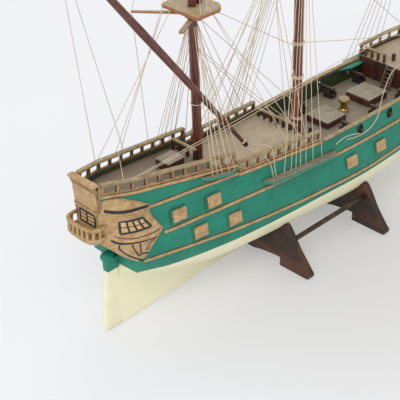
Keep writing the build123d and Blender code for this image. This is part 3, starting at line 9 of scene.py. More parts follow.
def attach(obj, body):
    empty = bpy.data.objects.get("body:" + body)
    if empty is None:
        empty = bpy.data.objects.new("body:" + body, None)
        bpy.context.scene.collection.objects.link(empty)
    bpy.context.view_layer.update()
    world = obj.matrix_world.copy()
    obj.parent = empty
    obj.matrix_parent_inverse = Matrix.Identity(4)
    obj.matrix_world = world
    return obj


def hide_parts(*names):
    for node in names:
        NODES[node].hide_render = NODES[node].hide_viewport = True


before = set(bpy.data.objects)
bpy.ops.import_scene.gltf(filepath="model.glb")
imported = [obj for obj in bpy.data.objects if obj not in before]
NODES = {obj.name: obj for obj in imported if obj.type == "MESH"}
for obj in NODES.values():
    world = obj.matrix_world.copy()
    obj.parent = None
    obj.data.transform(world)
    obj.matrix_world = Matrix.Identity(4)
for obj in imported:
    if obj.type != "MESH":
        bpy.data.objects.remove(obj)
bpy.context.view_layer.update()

MM = 0.001
MID_X = 144.0               # working x, in millimetres, of the shared frame's origin
random.seed(11)


# ---------------------------------------------------------------- camera
CAMERA_PLACE = (-1.028, -0.787, 0.822)
CAMERA_TURN = (-45.64, 32.58, 0.15)     # azimuth, elevation and roll in degrees


def make_camera():
    """Camera behind and to starboard of the stern, looking down at it."""
    azimuth, elevation, roll = (math.radians(angle) for angle in CAMERA_TURN)
    back = Vector((math.sin(azimuth) * math.cos(elevation), -math.cos(azimuth) * math.cos(elevation),
                   math.sin(elevation)))
    right = Vector((math.cos(azimuth), math.sin(azimuth), 0.0))
    up = back.cross(right)
    turned_right = right * math.cos(roll) + up * math.sin(roll)
    turned_up = up * math.cos(roll) - right * math.sin(roll)
    data = bpy.data.cameras.new("camera")
    data.lens = 108.0
    data.sensor_width = 36.0
    data.clip_start = 0.05
    data.clip_end = 30.0
    camera = bpy.data.objects.new("camera", data)
    basis = Matrix((turned_right, turned_up, back)).transposed().to_4x4()
    camera.matrix_world = Matrix.Translation(CAMERA_PLACE) @ basis
    bpy.context.scene.collection.objects.link(camera)
    bpy.context.scene.camera = camera


make_camera()


# ---------------------------------------------------------------- colours and materials
def srgb(r, g, b):
    """Linear colour of an sRGB colour given from 0 to 255."""
    def linear(c):
        c = c / 255.0
        return c / 12.92 if c <= 0.04045 else ((c + 0.055) / 1.055) ** 2.4
    return (linear(r), linear(g), linear(b), 1.0)


class Finish:
    """A node material on object coordinates, in metres."""

    def __init__(self, name, roughness=0.5, metallic=0.0, coat=0.0):
        self.material = bpy.data.materials.new(name)
        self.material.use_nodes = True
        self.tree = self.material.node_tree
        self.shader = self.tree.nodes["Principled BSDF"]
        self.shader.inputs["Roughness"].default_value = roughness
        self.shader.inputs["Metallic"].default_value = metallic
        self.shader.inputs["Coat Weight"].default_value = coat
        self.shader.inputs["Coat Roughness"].default_value = 0.25
        self.coords = self.tree.nodes.new("ShaderNodeTexCoord").outputs["Object"]

    def node(self, kind, **settings):
        made = self.tree.nodes.new(kind)
        for key, value in settings.items():
            setattr(made, key, value)
        return made

    def feed(self, socket, value):
        """Connects a socket to a socket, or sets it to a number or an sRGB colour."""
        if isinstance(value, bpy.types.NodeSocket):
            self.tree.links.new(value, socket)
        elif isinstance(value, tuple):
            socket.default_value = srgb(*value)
        else:
            socket.default_value = value

    def noise(self, size_mm, detail=4.0, stretch=(1.0, 1.0, 1.0), rough=0.55, distortion=0.0):
        """Noise whose blobs are about size_mm, longer along an axis where its stretch is above 1."""
        mapping = self.node("ShaderNodeMapping")
        self.feed(mapping.inputs["Vector"], self.coords)
        mapping.inputs["Scale"].default_value = [1.0 / s for s in stretch]
        texture = self.node("ShaderNodeTexNoise")
        self.feed(texture.inputs["Vector"], mapping.outputs["Vector"])
        texture.inputs["Scale"].default_value = 1.0 / (size_mm * MM)
        texture.inputs["Detail"].default_value = detail
        texture.inputs["Roughness"].default_value = rough
        texture.inputs["Distortion"].default_value = distortion
        return texture.outputs["Fac"]

    def math(self, operation, a, b=0.0):
        made = self.node("ShaderNodeMath", operation=operation)
        self.feed(made.inputs[0], a)
        self.feed(made.inputs[1], b)
        return made.outputs[0]

    def span(self, value, low, high, to_low=0.0, to_high=1.0):
        """Maps low..high to to_low..to_high, clamped."""
        made = self.node("ShaderNodeMapRange", clamp=True)
        self.feed(made.inputs["Value"], value)
        made.inputs["From Min"].default_value = low
        made.inputs["From Max"].default_value = high
        made.inputs["To Min"].default_value = to_low
        made.inputs["To Max"].default_value = to_high
        return made.outputs["Result"]

    def mix(self, share, a, b):
        made = self.node("ShaderNodeMix", data_type="RGBA")
        self.feed(made.inputs[0], share)
        self.feed(made.inputs[6], a)
        self.feed(made.inputs[7], b)
        return made.outputs[2]

    def corner_dirt_and_shade(self, reach_mm, low=0.45, high=0.95):
        """Ambient-occlusion mask of painted shade, also standing for dirt: one in tight inner corners,
        falling to nothing on open surfaces.
        """
        made = self.node("ShaderNodeAmbientOcclusion", samples=8)
        made.inputs["Distance"].default_value = reach_mm * MM
        return self.span(made.outputs["AO"], low, high, 1.0, 0.0)

    def dirt_and_shade_in_corners(self, base, dirt, share, reach_mm, low=0.45, high=0.95):
        """The base colour with a share of dirt and painted shade in its inner corners."""
        return self.mix(self.math("MULTIPLY", self.corner_dirt_and_shade(reach_mm, low, high), share), base, dirt)

    def split(self, vector):
        parts = self.node("ShaderNodeSeparateXYZ")
        self.feed(parts.inputs[0], vector)
        return parts.outputs

    def axes(self):
        return self.split(self.coords)

    def facing(self):
        return self.split(self.node("ShaderNodeNewGeometry").outputs["Normal"])

    def outward(self):
        """How far the surface faces away from the ship's middle plane; negative on inner faces."""
        return self.math("MULTIPLY", self.facing()["Y"], self.math("SIGN", self.axes()["Y"]))

    def colour(self, value):
        self.feed(self.shader.inputs["Base Color"], value)

    def uneven_gloss(self, size_mm, detail, low, high):
        """Roughness that wanders between low and high in patches of about size_mm."""
        rough = self.span(self.noise(size_mm, detail), 0.3, 0.7, low, high)
        self.feed(self.shader.inputs["Roughness"], rough)

    def bump(self, height, depth_mm, strength=1.0):
        made = self.node("ShaderNodeBump")
        made.inputs["Strength"].default_value = strength
        made.inputs["Distance"].default_value = depth_mm * MM
        self.feed(made.inputs["Height"], height)
        self.feed(self.shader.inputs["Normal"], made.outputs["Normal"])


def painted(name, main, dark, light, dirt, roughness=0.42, dirt_and_shade_share=0.75, streak=(6.0, 1.0, 1.0),
            inner=None, top=None, coat=0.12):
    """Brushed paint: slow colour drift, fine streaks, scuffs, and dirt with painted shade in the corners."""
    f = Finish(name, roughness, coat=coat)
    base = f.mix(f.span(f.noise(30.0, 3.0), 0.35, 0.68), dark, main)
    base = f.mix(f.span(f.noise(2.2, 5.0, streak, 0.65), 0.42, 0.72, 0.0, 0.45), base, light)
    scuffs = f.noise(3.4, 8.0, (2.5, 1.0, 1.0), 0.72, 0.4)
    base = f.mix(f.span(scuffs, 0.66, 0.76, 0.0, 0.4), base, light)
    if inner:
        base = f.mix(f.span(f.outward(), -0.5, -0.3, 1.0, 0.0), base, inner)
        base = f.mix(f.span(f.facing()["Z"], 0.6, 0.8), base, top)
    patchy = f.span(f.noise(6.0, 5.0), 0.3, 0.62, 0.35, 1.0)
    # Corners darkened by ambient occlusion: dirt and painted shade.
    f.colour(f.dirt_and_shade_in_corners(base, dirt, f.math("MULTIPLY", patchy, dirt_and_shade_share), 3.2))
    f.uneven_gloss(9.0, 4.0, roughness - 0.08, roughness + 0.14)
    f.bump(f.noise(1.6, 5.0, streak, 0.6), 0.05, 0.6)
    return f.material


def washed(name, main, dark, light, deep, roughness=0.5, reach=2.6, side=None, aft=None, inner=None):
    """Tan paint rubbed over with a thin brown wash that stays in the hollows, darkened there with painted
    shade too.
    """
    f = Finish(name, roughness, coat=0.1)
    base = f.mix(f.span(f.noise(5.5, 7.0, (1.6, 1.2, 1.0), 0.68, 0.6), 0.38, 0.66), dark, main)
    flecks = f.noise(1.7, 6.0, (2.0, 1.0, 1.0), 0.7)
    base = f.mix(f.span(flecks, 0.55, 0.72, 0.0, 0.6), base, light)
    spots = f.noise(2.6, 7.0, (1.0, 1.0, 1.0), 0.75, 0.8)
    base = f.mix(f.span(spots, 0.63, 0.73, 0.0, 0.55), base, dark)
    if side:
        base = f.mix(f.span(f.math("ABSOLUTE", f.facing()["Z"]), 0.25, 0.75, 0.9, 0.0), base, side)
    # Inboard-facing and aft-facing faces are darkened here: painted shade.
    if inner:
        base = f.mix(f.span(f.outward(), -0.6, -0.3, 0.85, 0.0), base, inner)
    if aft:
        base = f.mix(f.span(f.facing()["X"], -0.8, -0.3, 0.85, 0.0), base, aft)
    # Hollows darkened by ambient occlusion: brown wash and painted shade.
    f.colour(f.dirt_and_shade_in_corners(base, deep, 0.85, reach))
    f.uneven_gloss(4.0, 4.0, roughness - 0.08, roughness + 0.12)
    f.bump(f.noise(1.3, 6.0, (1.5, 1.0, 1.0), 0.65), 0.11, 0.8)
    return f.material


def planked(name, main, dark, light, width_mm, seam=0.07, dim_aft_mm=None):
    """Deck planking along X with thin dark seams and staggered butts, dimmer aft of dim_aft_mm."""
    plank_mm = 70.0
    f = Finish(name, 0.62)
    x, y, _ = f.axes()
    rows = f.math("DIVIDE", f.math("ADD", y, 1.0), width_mm * MM)
    tone = f.node("ShaderNodeTexWhiteNoise", noise_dimensions="1D")
    f.feed(tone.inputs["W"], f.math("FLOOR", rows))
    stagger = f.math("MULTIPLY", tone.outputs["Value"], 3.0)
    along = f.math("ADD", f.math("DIVIDE", f.math("ADD", x, 2.0), plank_mm * MM), stagger)
    edge = f.math("MULTIPLY", f.span(f.math("FRACT", rows), 0.0, seam, 1.0, 0.0), 0.8)
    butt = f.span(f.math("FRACT", along), 0.0, 0.008, 0.7, 0.0)
    gaps = f.math("MAXIMUM", edge, butt)
    grain = f.noise(0.9, 6.0, (14.0, 1.0, 1.0), 0.7)
    base = f.mix(f.span(f.noise(16.0, 5.0, (1.6, 1.0, 1.0), 0.6), 0.35, 0.66), main, light)
    base = f.mix(f.span(grain, 0.45, 0.75, 0.0, 0.55), base, dark)
    base = f.mix(f.math("MULTIPLY", tone.outputs["Value"], 0.22), base, dark)
    if dim_aft_mm is not None:
        split = (dim_aft_mm - MID_X) * MM
        base = f.mix(f.span(x, split - MM, split + MM, 0.75, 0.0), base, (104, 90, 76))
    base = f.mix(gaps, base, (70, 58, 46))
    # Deck corners darkened by ambient occlusion: dirt and painted shade.
    f.colour(f.dirt_and_shade_in_corners(base, (62, 50, 40), 0.75, 6.0, 0.3, 0.9))
    f.bump(f.math("SUBTRACT", f.math("MULTIPLY", grain, 0.4), gaps), 0.12, 0.8)
    return f.material


def varnished(name, main, dark, light, roughness=0.3, stretch=(1.0, 1.0, 8.0), coat=0.35):
    """Stained and varnished wood with grain along the long direction."""
    f = Finish(name, roughness, coat=coat)
    grain = f.noise(1.5, 7.0, stretch, 0.65, 0.5)
    base = f.mix(f.span(grain, 0.36, 0.7), dark, main)
    base = f.mix(f.span(f.noise(12.0, 4.0, stretch), 0.48, 0.72, 0.0, 0.6), base, light)
    # Corners darkened by ambient occlusion: dirt and painted shade.
    f.colour(f.dirt_and_shade_in_corners(base, (24, 14, 10), 0.6, 3.0))
    f.uneven_gloss(5.0, 4.0, roughness - 0.06, roughness + 0.14)
    f.bump(grain, 0.06, 0.6)
    return f.material


def metal(name, main, stain, roughness):
    """Cast metal with dull stains in the hollows."""
    f = Finish(name, roughness, 1.0)
    base = f.mix(f.span(f.noise(2.4, 6.0), 0.42, 0.68), main, stain)
    f.colour(f.dirt_and_shade_in_corners(base, stain, 0.8, 1.6))
    f.uneven_gloss(1.4, 5.0, roughness - 0.05, roughness + 0.2)
    f.bump(f.noise(0.9, 5.0), 0.06, 0.7)
    return f.material


def twisted(name, main, dark):
    """Rigging thread: pale cotton with fine twist and a little soot."""
    f = Finish(name, 0.85)
    fibres = f.noise(0.35, 4.0, (1.0, 1.0, 2.5))
    base = f.mix(f.span(fibres, 0.4, 0.7, 0.0, 0.6), main, dark)
    base = f.mix(f.span(f.noise(25.0, 3.0), 0.55, 0.75, 0.0, 0.5), base, dark)
    f.colour(base)
    f.bump(fibres, 0.08, 0.8)
    return f.material


GREEN_TONES = ((4, 134, 107), (2, 118, 94), (30, 150, 125), (66, 62, 38), 0.5)
GREEN = painted("green_paint", *GREEN_TONES, streak=(9.0, 1.4, 1.4), coat=0.03)
BLOCK_GREEN = painted("stern_block_paint", *GREEN_TONES, inner=(34, 56, 40), top=(112, 96, 62), coat=0.03)
GRIME = painted("grime_line", (74, 92, 60), (78, 64, 40), (96, 108, 74), (50, 40, 26), 0.6)
DEEP_GREEN = painted("dark_green_paint", (46, 66, 40), (36, 38, 24), (76, 94, 54), (40, 26, 14), 0.6)
CREAM = painted("cream_paint", (248, 243, 208), (244, 238, 200), (251, 248, 220), (206, 188, 136), 0.4, 0.3)
TAN = washed("tan_paint", (204, 172, 122), (166, 128, 82), (226, 198, 154), (84, 56, 32))
PANE = washed("pane_paint", (226, 194, 136), (196, 156, 100), (240, 216, 168), (110, 76, 44))
RAIL = washed("rail_paint", (178, 160, 118), (136, 114, 76), (206, 188, 146), (60, 44, 26))
TOP_TAN = washed("top_paint", (186, 166, 134), (156, 132, 98), (206, 190, 160), (84, 56, 30),
                 side=(158, 92, 44))
CHANNEL_TOP = washed("channel_paint", (150, 142, 122), (120, 110, 88), (178, 170, 148), (60, 44, 28),
                     side=(30, 128, 104))
# The posts' inboard and aft faces are darkened as painted shade.
POST = washed("post_paint", (186, 154, 104), (128, 96, 58), (212, 184, 134), (44, 28, 16), reach=4.0,
              aft=(72, 44, 24), inner=(96, 72, 44))
DECK = planked("deck_planks", (182, 164, 138), (134, 116, 94), (202, 184, 156), 4.2, dim_aft_mm=-66.0)
WAIST_DECK = planked("waist_planks", (134, 122, 104), (92, 80, 66), (154, 142, 122), 4.2)
HATCH = planked("hatch_planks", (154, 142, 122), (110, 98, 80), (176, 164, 142), 40.0, 0.0)
SPAR = varnished("spar_varnish", (124, 58, 40), (64, 30, 22), (164, 88, 54), coat=0.25)
YARD = varnished("yard_varnish", (116, 56, 42), (68, 32, 24), (150, 82, 56), stretch=(5.0, 1.0, 5.0),
                 coat=0.25)
RED_WOOD = varnished("dark_red_wood", (74, 36, 27), (34, 18, 15), (120, 60, 38), 0.46)
LADDER = varnished("taupe_wood", (128, 106, 84), (84, 66, 50), (158, 136, 110), 0.55)
CARRIAGE = varnished("black_wood", (40, 34, 32), (18, 15, 15), (74, 62, 54), 0.5)
WALNUT = varnished("walnut", (62, 38, 24), (20, 13, 9), (124, 70, 36), 0.42, (1.0, 9.0, 2.2), 0.08)
BRASS = metal("brass", (206, 172, 94), (112, 84, 40), 0.34)
# Gun barrels: light level tops on near-black sides, a painted highlight.
BARREL = washed("gun_paint", (96, 72, 54), (52, 38, 32), (178, 144, 106), (20, 14, 12), side=(44, 32, 28))
THREAD = twisted("thread", (222, 204, 176), (176, 150, 118))
INK = painted("navy_paint", (30, 32, 46), (20, 22, 34), (52, 54, 70), (18, 16, 16), 0.6, 0.3)
BROWN_INK = painted("brown_line", (104, 66, 42), (78, 46, 30), (150, 108, 72), (40, 24, 18), 0.55, 0.3)


def two_tone(name, split_mm):
    """Green above a level and cream below it, for the pieces on the keel line."""
    f = Finish(name, 0.4, coat=0.12)
    upper = f.span(f.axes()["Z"], (split_mm - 0.15) * MM, (split_mm + 0.15) * MM)
    green = f.mix(f.span(f.noise(8.0, 4.0), 0.35, 0.68), (2, 118, 94), (8, 138, 111))
    cream = f.mix(f.span(f.noise(14.0, 4.0), 0.35, 0.68), (244, 238, 200), (249, 245, 212))
    # Corners darkened by ambient occlusion: dirt and painted shade.
    f.colour(f.dirt_and_shade_in_corners(f.mix(upper, cream, green), (92, 88, 56), 0.5, 2.4))
    f.uneven_gloss(6.0, 4.0, 0.34, 0.52)
    f.bump(f.noise(1.6, 5.0), 0.06, 0.6)
    return f.material


KEEL_PAINT = two_tone("keel_paint", 79.6)


# ---------------------------------------------------------------- hull form (working mm)
HULL_LINES = [
    (-205.0, (2.5, 62.0), (10.0, 76.0), (33.0, 85.0), (38.5, 103.0), (33.0, 140.0), (25.5, 197.0)),
    (-150.0, (3.0, 36.0), (17.0, 54.0), (40.0, 70.0), (46.5, 90.0), (40.0, 135.0), (31.0, 189.0)),
    (-68.0, (3.0, 16.0), (30.0, 39.5), (50.0, 61.0), (56.0, 80.0), (49.0, 125.0), (39.0, 176.0)),
    (0.0, (3.0, 12.0), (31.0, 36.0), (56.0, 58.8), (61.0, 77.0), (54.0, 120.0), (45.5, 163.0)),
    (61.0, (3.0, 14.0), (35.0, 36.0), (60.0, 58.8), (64.0, 77.0), (57.0, 118.0), (51.0, 155.0)),
    (135.0, (3.0, 16.0), (42.0, 36.0), (64.0, 59.0), (67.0, 78.0), (59.0, 117.0), (53.0, 152.0)),
    (200.0, (3.0, 18.0), (38.0, 38.0), (61.0, 60.0), (65.0, 80.0), (58.0, 119.0), (53.0, 153.0)),
    (265.0, (3.0, 22.0), (28.0, 41.0), (51.0, 60.0), (58.0, 84.0), (54.5, 123.0), (51.0, 162.0)),
    (320.0, (3.0, 26.0), (17.0, 46.0), (37.0, 64.0), (47.0, 90.0), (46.0, 130.0), (46.0, 168.0)),
    (365.0, (3.0, 32.0), (9.0, 53.0), (22.0, 71.0), (31.0, 98.0), (34.0, 138.0), (36.5, 173.0)),
    (400.0, (3.0, 50.0), (5.0, 64.0), (10.0, 82.0), (15.0, 108.0), (20.0, 145.0), (25.0, 177.0)),
    (420.0, (2.8, 88.0), (3.4, 95.0), (4.5, 104.0), (6.5, 120.0), (10.0, 152.0), (13.0, 179.0)),
    (428.0, (2.6, 122.0), (2.8, 128.0), (3.0, 134.0), (3.2, 142.0), (3.6, 160.0), (4.0, 180.0)),
]
HULL_AFT_X = -205.0
BOW_X = 428.0
KEEL_HALF = 2.5
POOP_END_X = -66.0
QD_BREAK_X = 66.0
FC_BREAK_X = 268.0
TAFFRAIL_X = -241.0
TRANSOM_Y = 17.5
TRANSOM_LEAN = 5.0 / 42.0
LEAN_FOOT_Z = 157.0
WAIST_CAP_Z = 142.0
WAIST_DECK_Z = 119.5
CAP_T = 2.4


def slopes(xs, ys):
    """Slopes of a smooth curve that never overshoots its points."""
    count = len(xs)
    steps = [(ys[i + 1] - ys[i]) / (xs[i + 1] - xs[i]) for i in range(count - 1)]
    result = [steps[0]]
    for i in range(1, count - 1):
        before = steps[i - 1]
        after = steps[i]
        result.append(0.0 if before * after <= 0 else 2 * before * after / (before + after))
    result.append(steps[-1])
    return result


def smooth(x, xs, ys):
    """Value at x of the smooth curve through the points."""
    x = min(max(x, xs[0]), xs[-1])
    m = slopes(xs, ys)
    i = max(k for k in range(len(xs) - 1) if xs[k] <= x)
    width = xs[i + 1] - xs[i]
    t = (x - xs[i]) / width
    start = (1 + 2 * t) * (1 - t) ** 2 * ys[i] + t * (1 - t) ** 2 * width * m[i]
    return start + t * t * (3 - 2 * t) * ys[i + 1] + t * t * (t - 1) * width * m[i + 1]


def through(points):
    """Smooth curve through (x, z) points."""
    xs = [p[0] for p in points]
    zs = [p[1] for p in points]
    return lambda x: smooth(x, xs, zs)


def keel_z(x):
    straight = 1.5 + 0.033 * (x + 219.0)
    if x <= 365.0:
        return straight
    return straight + 92.0 * ((x - 365.0) / (BOW_X - 365.0)) ** 2


LINE_XS = [row[0] for row in HULL_LINES]
SECTION_CACHE = {}


def section(x):
    """Half-breadths and heights of the hull's section at x, from the keel up."""
    key = round(x, 3)
    if key not in SECTION_CACHE:
        ys = [KEEL_HALF]
        zs = [keel_z(x)]
        for i in range(1, 7):
            ys.append(smooth(x, LINE_XS, [row[i][0] for row in HULL_LINES]))
            zs.append(smooth(x, LINE_XS, [row[i][1] for row in HULL_LINES]))
        SECTION_CACHE[key] = (ys, zs)
    return SECTION_CACHE[key]


def hull_y(x, z):
    """Half-breadth of the hull at x and height z, on past its top along the last slope."""
    ys, zs = section(x)
    if z >= zs[-1]:
        return ys[-1] + (ys[-1] - ys[-2]) / (zs[-1] - zs[-2]) * (z - zs[-1])
    return smooth(z, zs, ys)


def side_y(x, z):
    """Half-breadth with the narrowing stern block included."""
    if x >= HULL_AFT_X:
        return hull_y(x, z)
    share = (HULL_AFT_X - x) / (HULL_AFT_X - TAFFRAIL_X)
    start = hull_y(HULL_AFT_X, z)
    return start + (TRANSOM_Y - start) * share


def poop_z(x):
    return 177.0 + 0.149 * (-170.0 - x)


def quarterdeck_z(x):
    return WAIST_CAP_Z + 0.065 * (QD_BREAK_X - x)


def forecastle_z(x):
    return 147.0 + 0.08 * (x - FC_BREAK_X)


WATERLINE = through([(-205.0, 85.2), (-192.0, 83.0), (-170.0, 79.5), (-120.0, 76.5), (-40.0, 74.5),
                     (80.0, 74.0),
                     (220.0, 73.5), (340.0, 75.5), (428.0, 79.0)])


# ---------------------------------------------------------------- mesh building
WELD = 2e-6                 # metres between points that are taken as one
EASED_ANGLE = math.radians(32.0)


def spread(start, end, pitch):
    """Even steps from start to end, none longer than pitch."""
    count = max(1, math.ceil(abs(end - start) / pitch))
    return [start + (end - start) * i / count for i in range(count + 1)]


class Shape:
    """Collects points in working millimetres and faces with a material number each."""

    def __init__(self):
        self.points = []
        self.faces = []

    def point(self, x, y, z):
        self.points.append(((x - MID_X) * MM, y * MM, z * MM))
        return len(self.points) - 1

    def face(self, corners, material=0):
        self.faces.append((tuple(corners), material))

    def grid(self, rows, material=0, round_u=False, keep=None):
        """Quads between rows of equally many points. keep(i, k) may leave some out."""
        marks = [[self.point(*p) for p in row] for row in rows]
        across = len(marks[0])
        for i in range(len(marks) - 1):
            for k in range(across if round_u else across - 1):
                if keep and not keep(i, k):
                    continue
                n = (k + 1) % across
                number = material(i, k) if callable(material) else material
                self.face((marks[i][k], marks[i][n], marks[i + 1][n], marks[i + 1][k]), number)
        return marks

    def mirror(self):
        """Adds the mirror image of everything across the middle plane."""
        start = len(self.points)
        self.points += [(x, -y, z) for x, y, z in self.points]
        self.faces += [(tuple(start + i for i in reversed(corners)), m) for corners, m in list(self.faces)]

    def loops(self, rings, material=0):
        """Closed tube through rings of points."""
        marks = self.grid(rings, material, round_u=True)
        self.face(reversed(marks[0]), material)
        self.face(marks[-1], material)

    def finish(self, name, materials, slot, replaces=(), sharp=35.0):
        """Turns what was collected into a piece on the ship."""
        mesh = bpy.data.meshes.new(name)
        mesh.from_pydata(self.points, [], [f[0] for f in self.faces])
        for material in materials:
            mesh.materials.append(material)
        for polygon, (_, number) in zip(mesh.polygons, self.faces):
            polygon.material_index = number
        return place(mesh, name, "ship", slot, replaces, sharp, 0.004)


def place(mesh, name, body, slot, replaces, sharp, merge):
    """Cleans a mesh, shades it smooth between sharp edges, and puts it on its body."""
    work = bmesh.new()
    work.from_mesh(mesh)
    bmesh.ops.remove_doubles(work, verts=work.verts, dist=merge * MM)
    bmesh.ops.dissolve_degenerate(work, edges=work.edges, dist=1e-7)
    bmesh.ops.recalc_face_normals(work, faces=work.faces)
    for face in work.faces:
        face.smooth = True
    for edge in work.edges:
        if len(edge.link_faces) == 2:
            edge.smooth = edge.calc_face_angle(0.0) < math.radians(sharp)
    work.to_mesh(mesh)
    work.free()
    piece = bpy.data.objects.new(name, mesh)
    bpy.context.scene.collection.objects.link(piece)
    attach(piece, body)
    if replaces:
        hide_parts(*replaces)
    return piece


def soften(node, material, slot, bevel, body="ship", segments=2):
    """A rounded copy of a CAD node: its edges are eased and it is shaded smooth."""
    mesh = NODES[node].data.copy()
    mesh.materials.clear()
    mesh.materials.append(material)
    work = bmesh.new()
    work.from_mesh(mesh)
    bmesh.ops.remove_doubles(work, verts=work.verts, dist=WELD)
    bmesh.ops.dissolve_limit(work, angle_limit=math.radians(0.8), verts=work.verts, edges=work.edges)
    for face in work.faces:
        face.material_index = 0
    edges = [e for e in work.edges if len(e.link_faces) == 2 and e.calc_face_angle(0.0) > EASED_ANGLE]
    if edges:
        bmesh.ops.bevel(work, geom=edges, offset=bevel * MM, offset_type="OFFSET", segments=segments,
                        profile=0.65, affect="EDGES", clamp_overlap=True)
    work.to_mesh(mesh)
    work.free()
    return place(mesh, node + "_worn", body, slot, [node], 50.0, 0.001)


def paint(node, material):
    """Gives a CAD node that is shown as it is its own material."""
    mesh = NODES[node].data
    mesh.materials.clear()
    mesh.materials.append(material)


def groups_of(work):
    """Lists of the joined vertices of each separate part of a mesh."""
    seen = set()
    for start in work.verts:
        if start in seen:
            continue
        seen.add(start)
        stack = [start]
        group = []
        while stack:
            vert = stack.pop()
            group.append(vert)
            for edge in vert.link_edges:
                other = edge.other_vert(vert)
                if other not in seen:
                    seen.add(other)
                    stack.append(other)
        yield group


def islands(node):
    """Points of each separate solid of a CAD node, in working millimetres."""
    work = bmesh.new()
    work.from_mesh(NODES[node].data)
    bmesh.ops.remove_doubles(work, verts=work.verts, dist=WELD)
    found = [[Vector((vert.co.x / MM + MID_X, vert.co.y / MM, vert.co.z / MM)) for vert in group]
             for group in groups_of(work)]
    work.free()
    return found


def shrink_islands(mesh, scale):
    """Scales each separate part of a mesh about its own centre."""
    work = bmesh.new()
    work.from_mesh(mesh)
    for group in groups_of(work):
        centre = middle_of([vert.co for vert in group])
        for vert in group:
            vert.co = centre + (vert.co - centre) * scale
    work.to_mesh(mesh)
    work.free()


def middle_of(points):
    return sum(points, Vector()) / len(points)


def ends_of(points):
    """The two end centres of a straight thin rod given by its points."""
    end_share = 0.45
    centre = middle_of(points)
    far = max(points, key=lambda p: (p - centre).length)
    axis = (far - centre).normalized()
    reach = [(p - centre).dot(axis) for p in points]
    depth = end_share * (max(reach) - min(reach))
    return (middle_of([p for p, r in zip(points, reach) if r < min(reach) + depth]),
            middle_of([p for p, r in zip(points, reach) if r > max(reach) - depth]))


def disc(x, y, z, radius_x, radius_y, count):
    """Ring of points round an upright axis."""
    turns = [2 * math.pi * i / count for i in range(count)]
    return [(x + radius_x * math.cos(turn), y + radius_y * math.sin(turn), z) for turn in turns]


EIGHT = ((-1.0, -0.8), (-0.8, -1.0), (0.8, -1.0), (1.0, -0.8),
         (1.0, 0.8), (0.8, 1.0), (-0.8, 1.0), (-1.0, 0.8))


# ---------------------------------------------------------------- hull skin
PORT_XS = (133.0, 190.0, 247.0)
PORT_HALF = 5.5
PORT_LOW = 125.0
PORT_HIGH = 136.0
BELOW_PORTS_Z = 118.0
WALL_FOOT_Z = 121.5
SHARED_TOP = 139.0
RIM_IN = 3.65
BULWARK_IN = 4.5
CREAM_SLOT, GREEN_SLOT, INNER_SLOT, RIM_SLOT = 0, 1, 2, 3


def hull_stations():
    """Stations about 8 mm apart that include every break and port edge."""
    marks = {HULL_AFT_X, POOP_END_X, QD_BREAK_X, FC_BREAK_X, BOW_X}
    for x in PORT_XS:
        marks.update((x - PORT_HALF, x + PORT_HALF))
    marks = sorted(marks)
    xs = []
    for a, b in zip(marks, marks[1:]):
        pitch = 8.0 if a < 360.0 else 5.0
        xs += spread(a, b, pitch)[:-1]
    return xs + [BOW_X]


def rim_height(x, after=True):
    """Top of the hull's side at x; at a break, after says which side of it."""
    nudge = 0.01 if after else -0.01
    if x + nudge < POOP_END_X:
        return poop_z(x)
    if x + nudge < QD_BREAK_X:
        return quarterdeck_z(x)
    if x + nudge < FC_BREAK_X:
        return WAIST_CAP_Z - CAP_T
    return forecastle_z(x)


def in_port(x0, x1, z0, z1):
    middle_x = (x0 + x1) / 2
    middle_z = (z0 + z1) / 2
    return any(abs(middle_x - x) < PORT_HALF for x in PORT_XS) and PORT_LOW < middle_z < PORT_HIGH


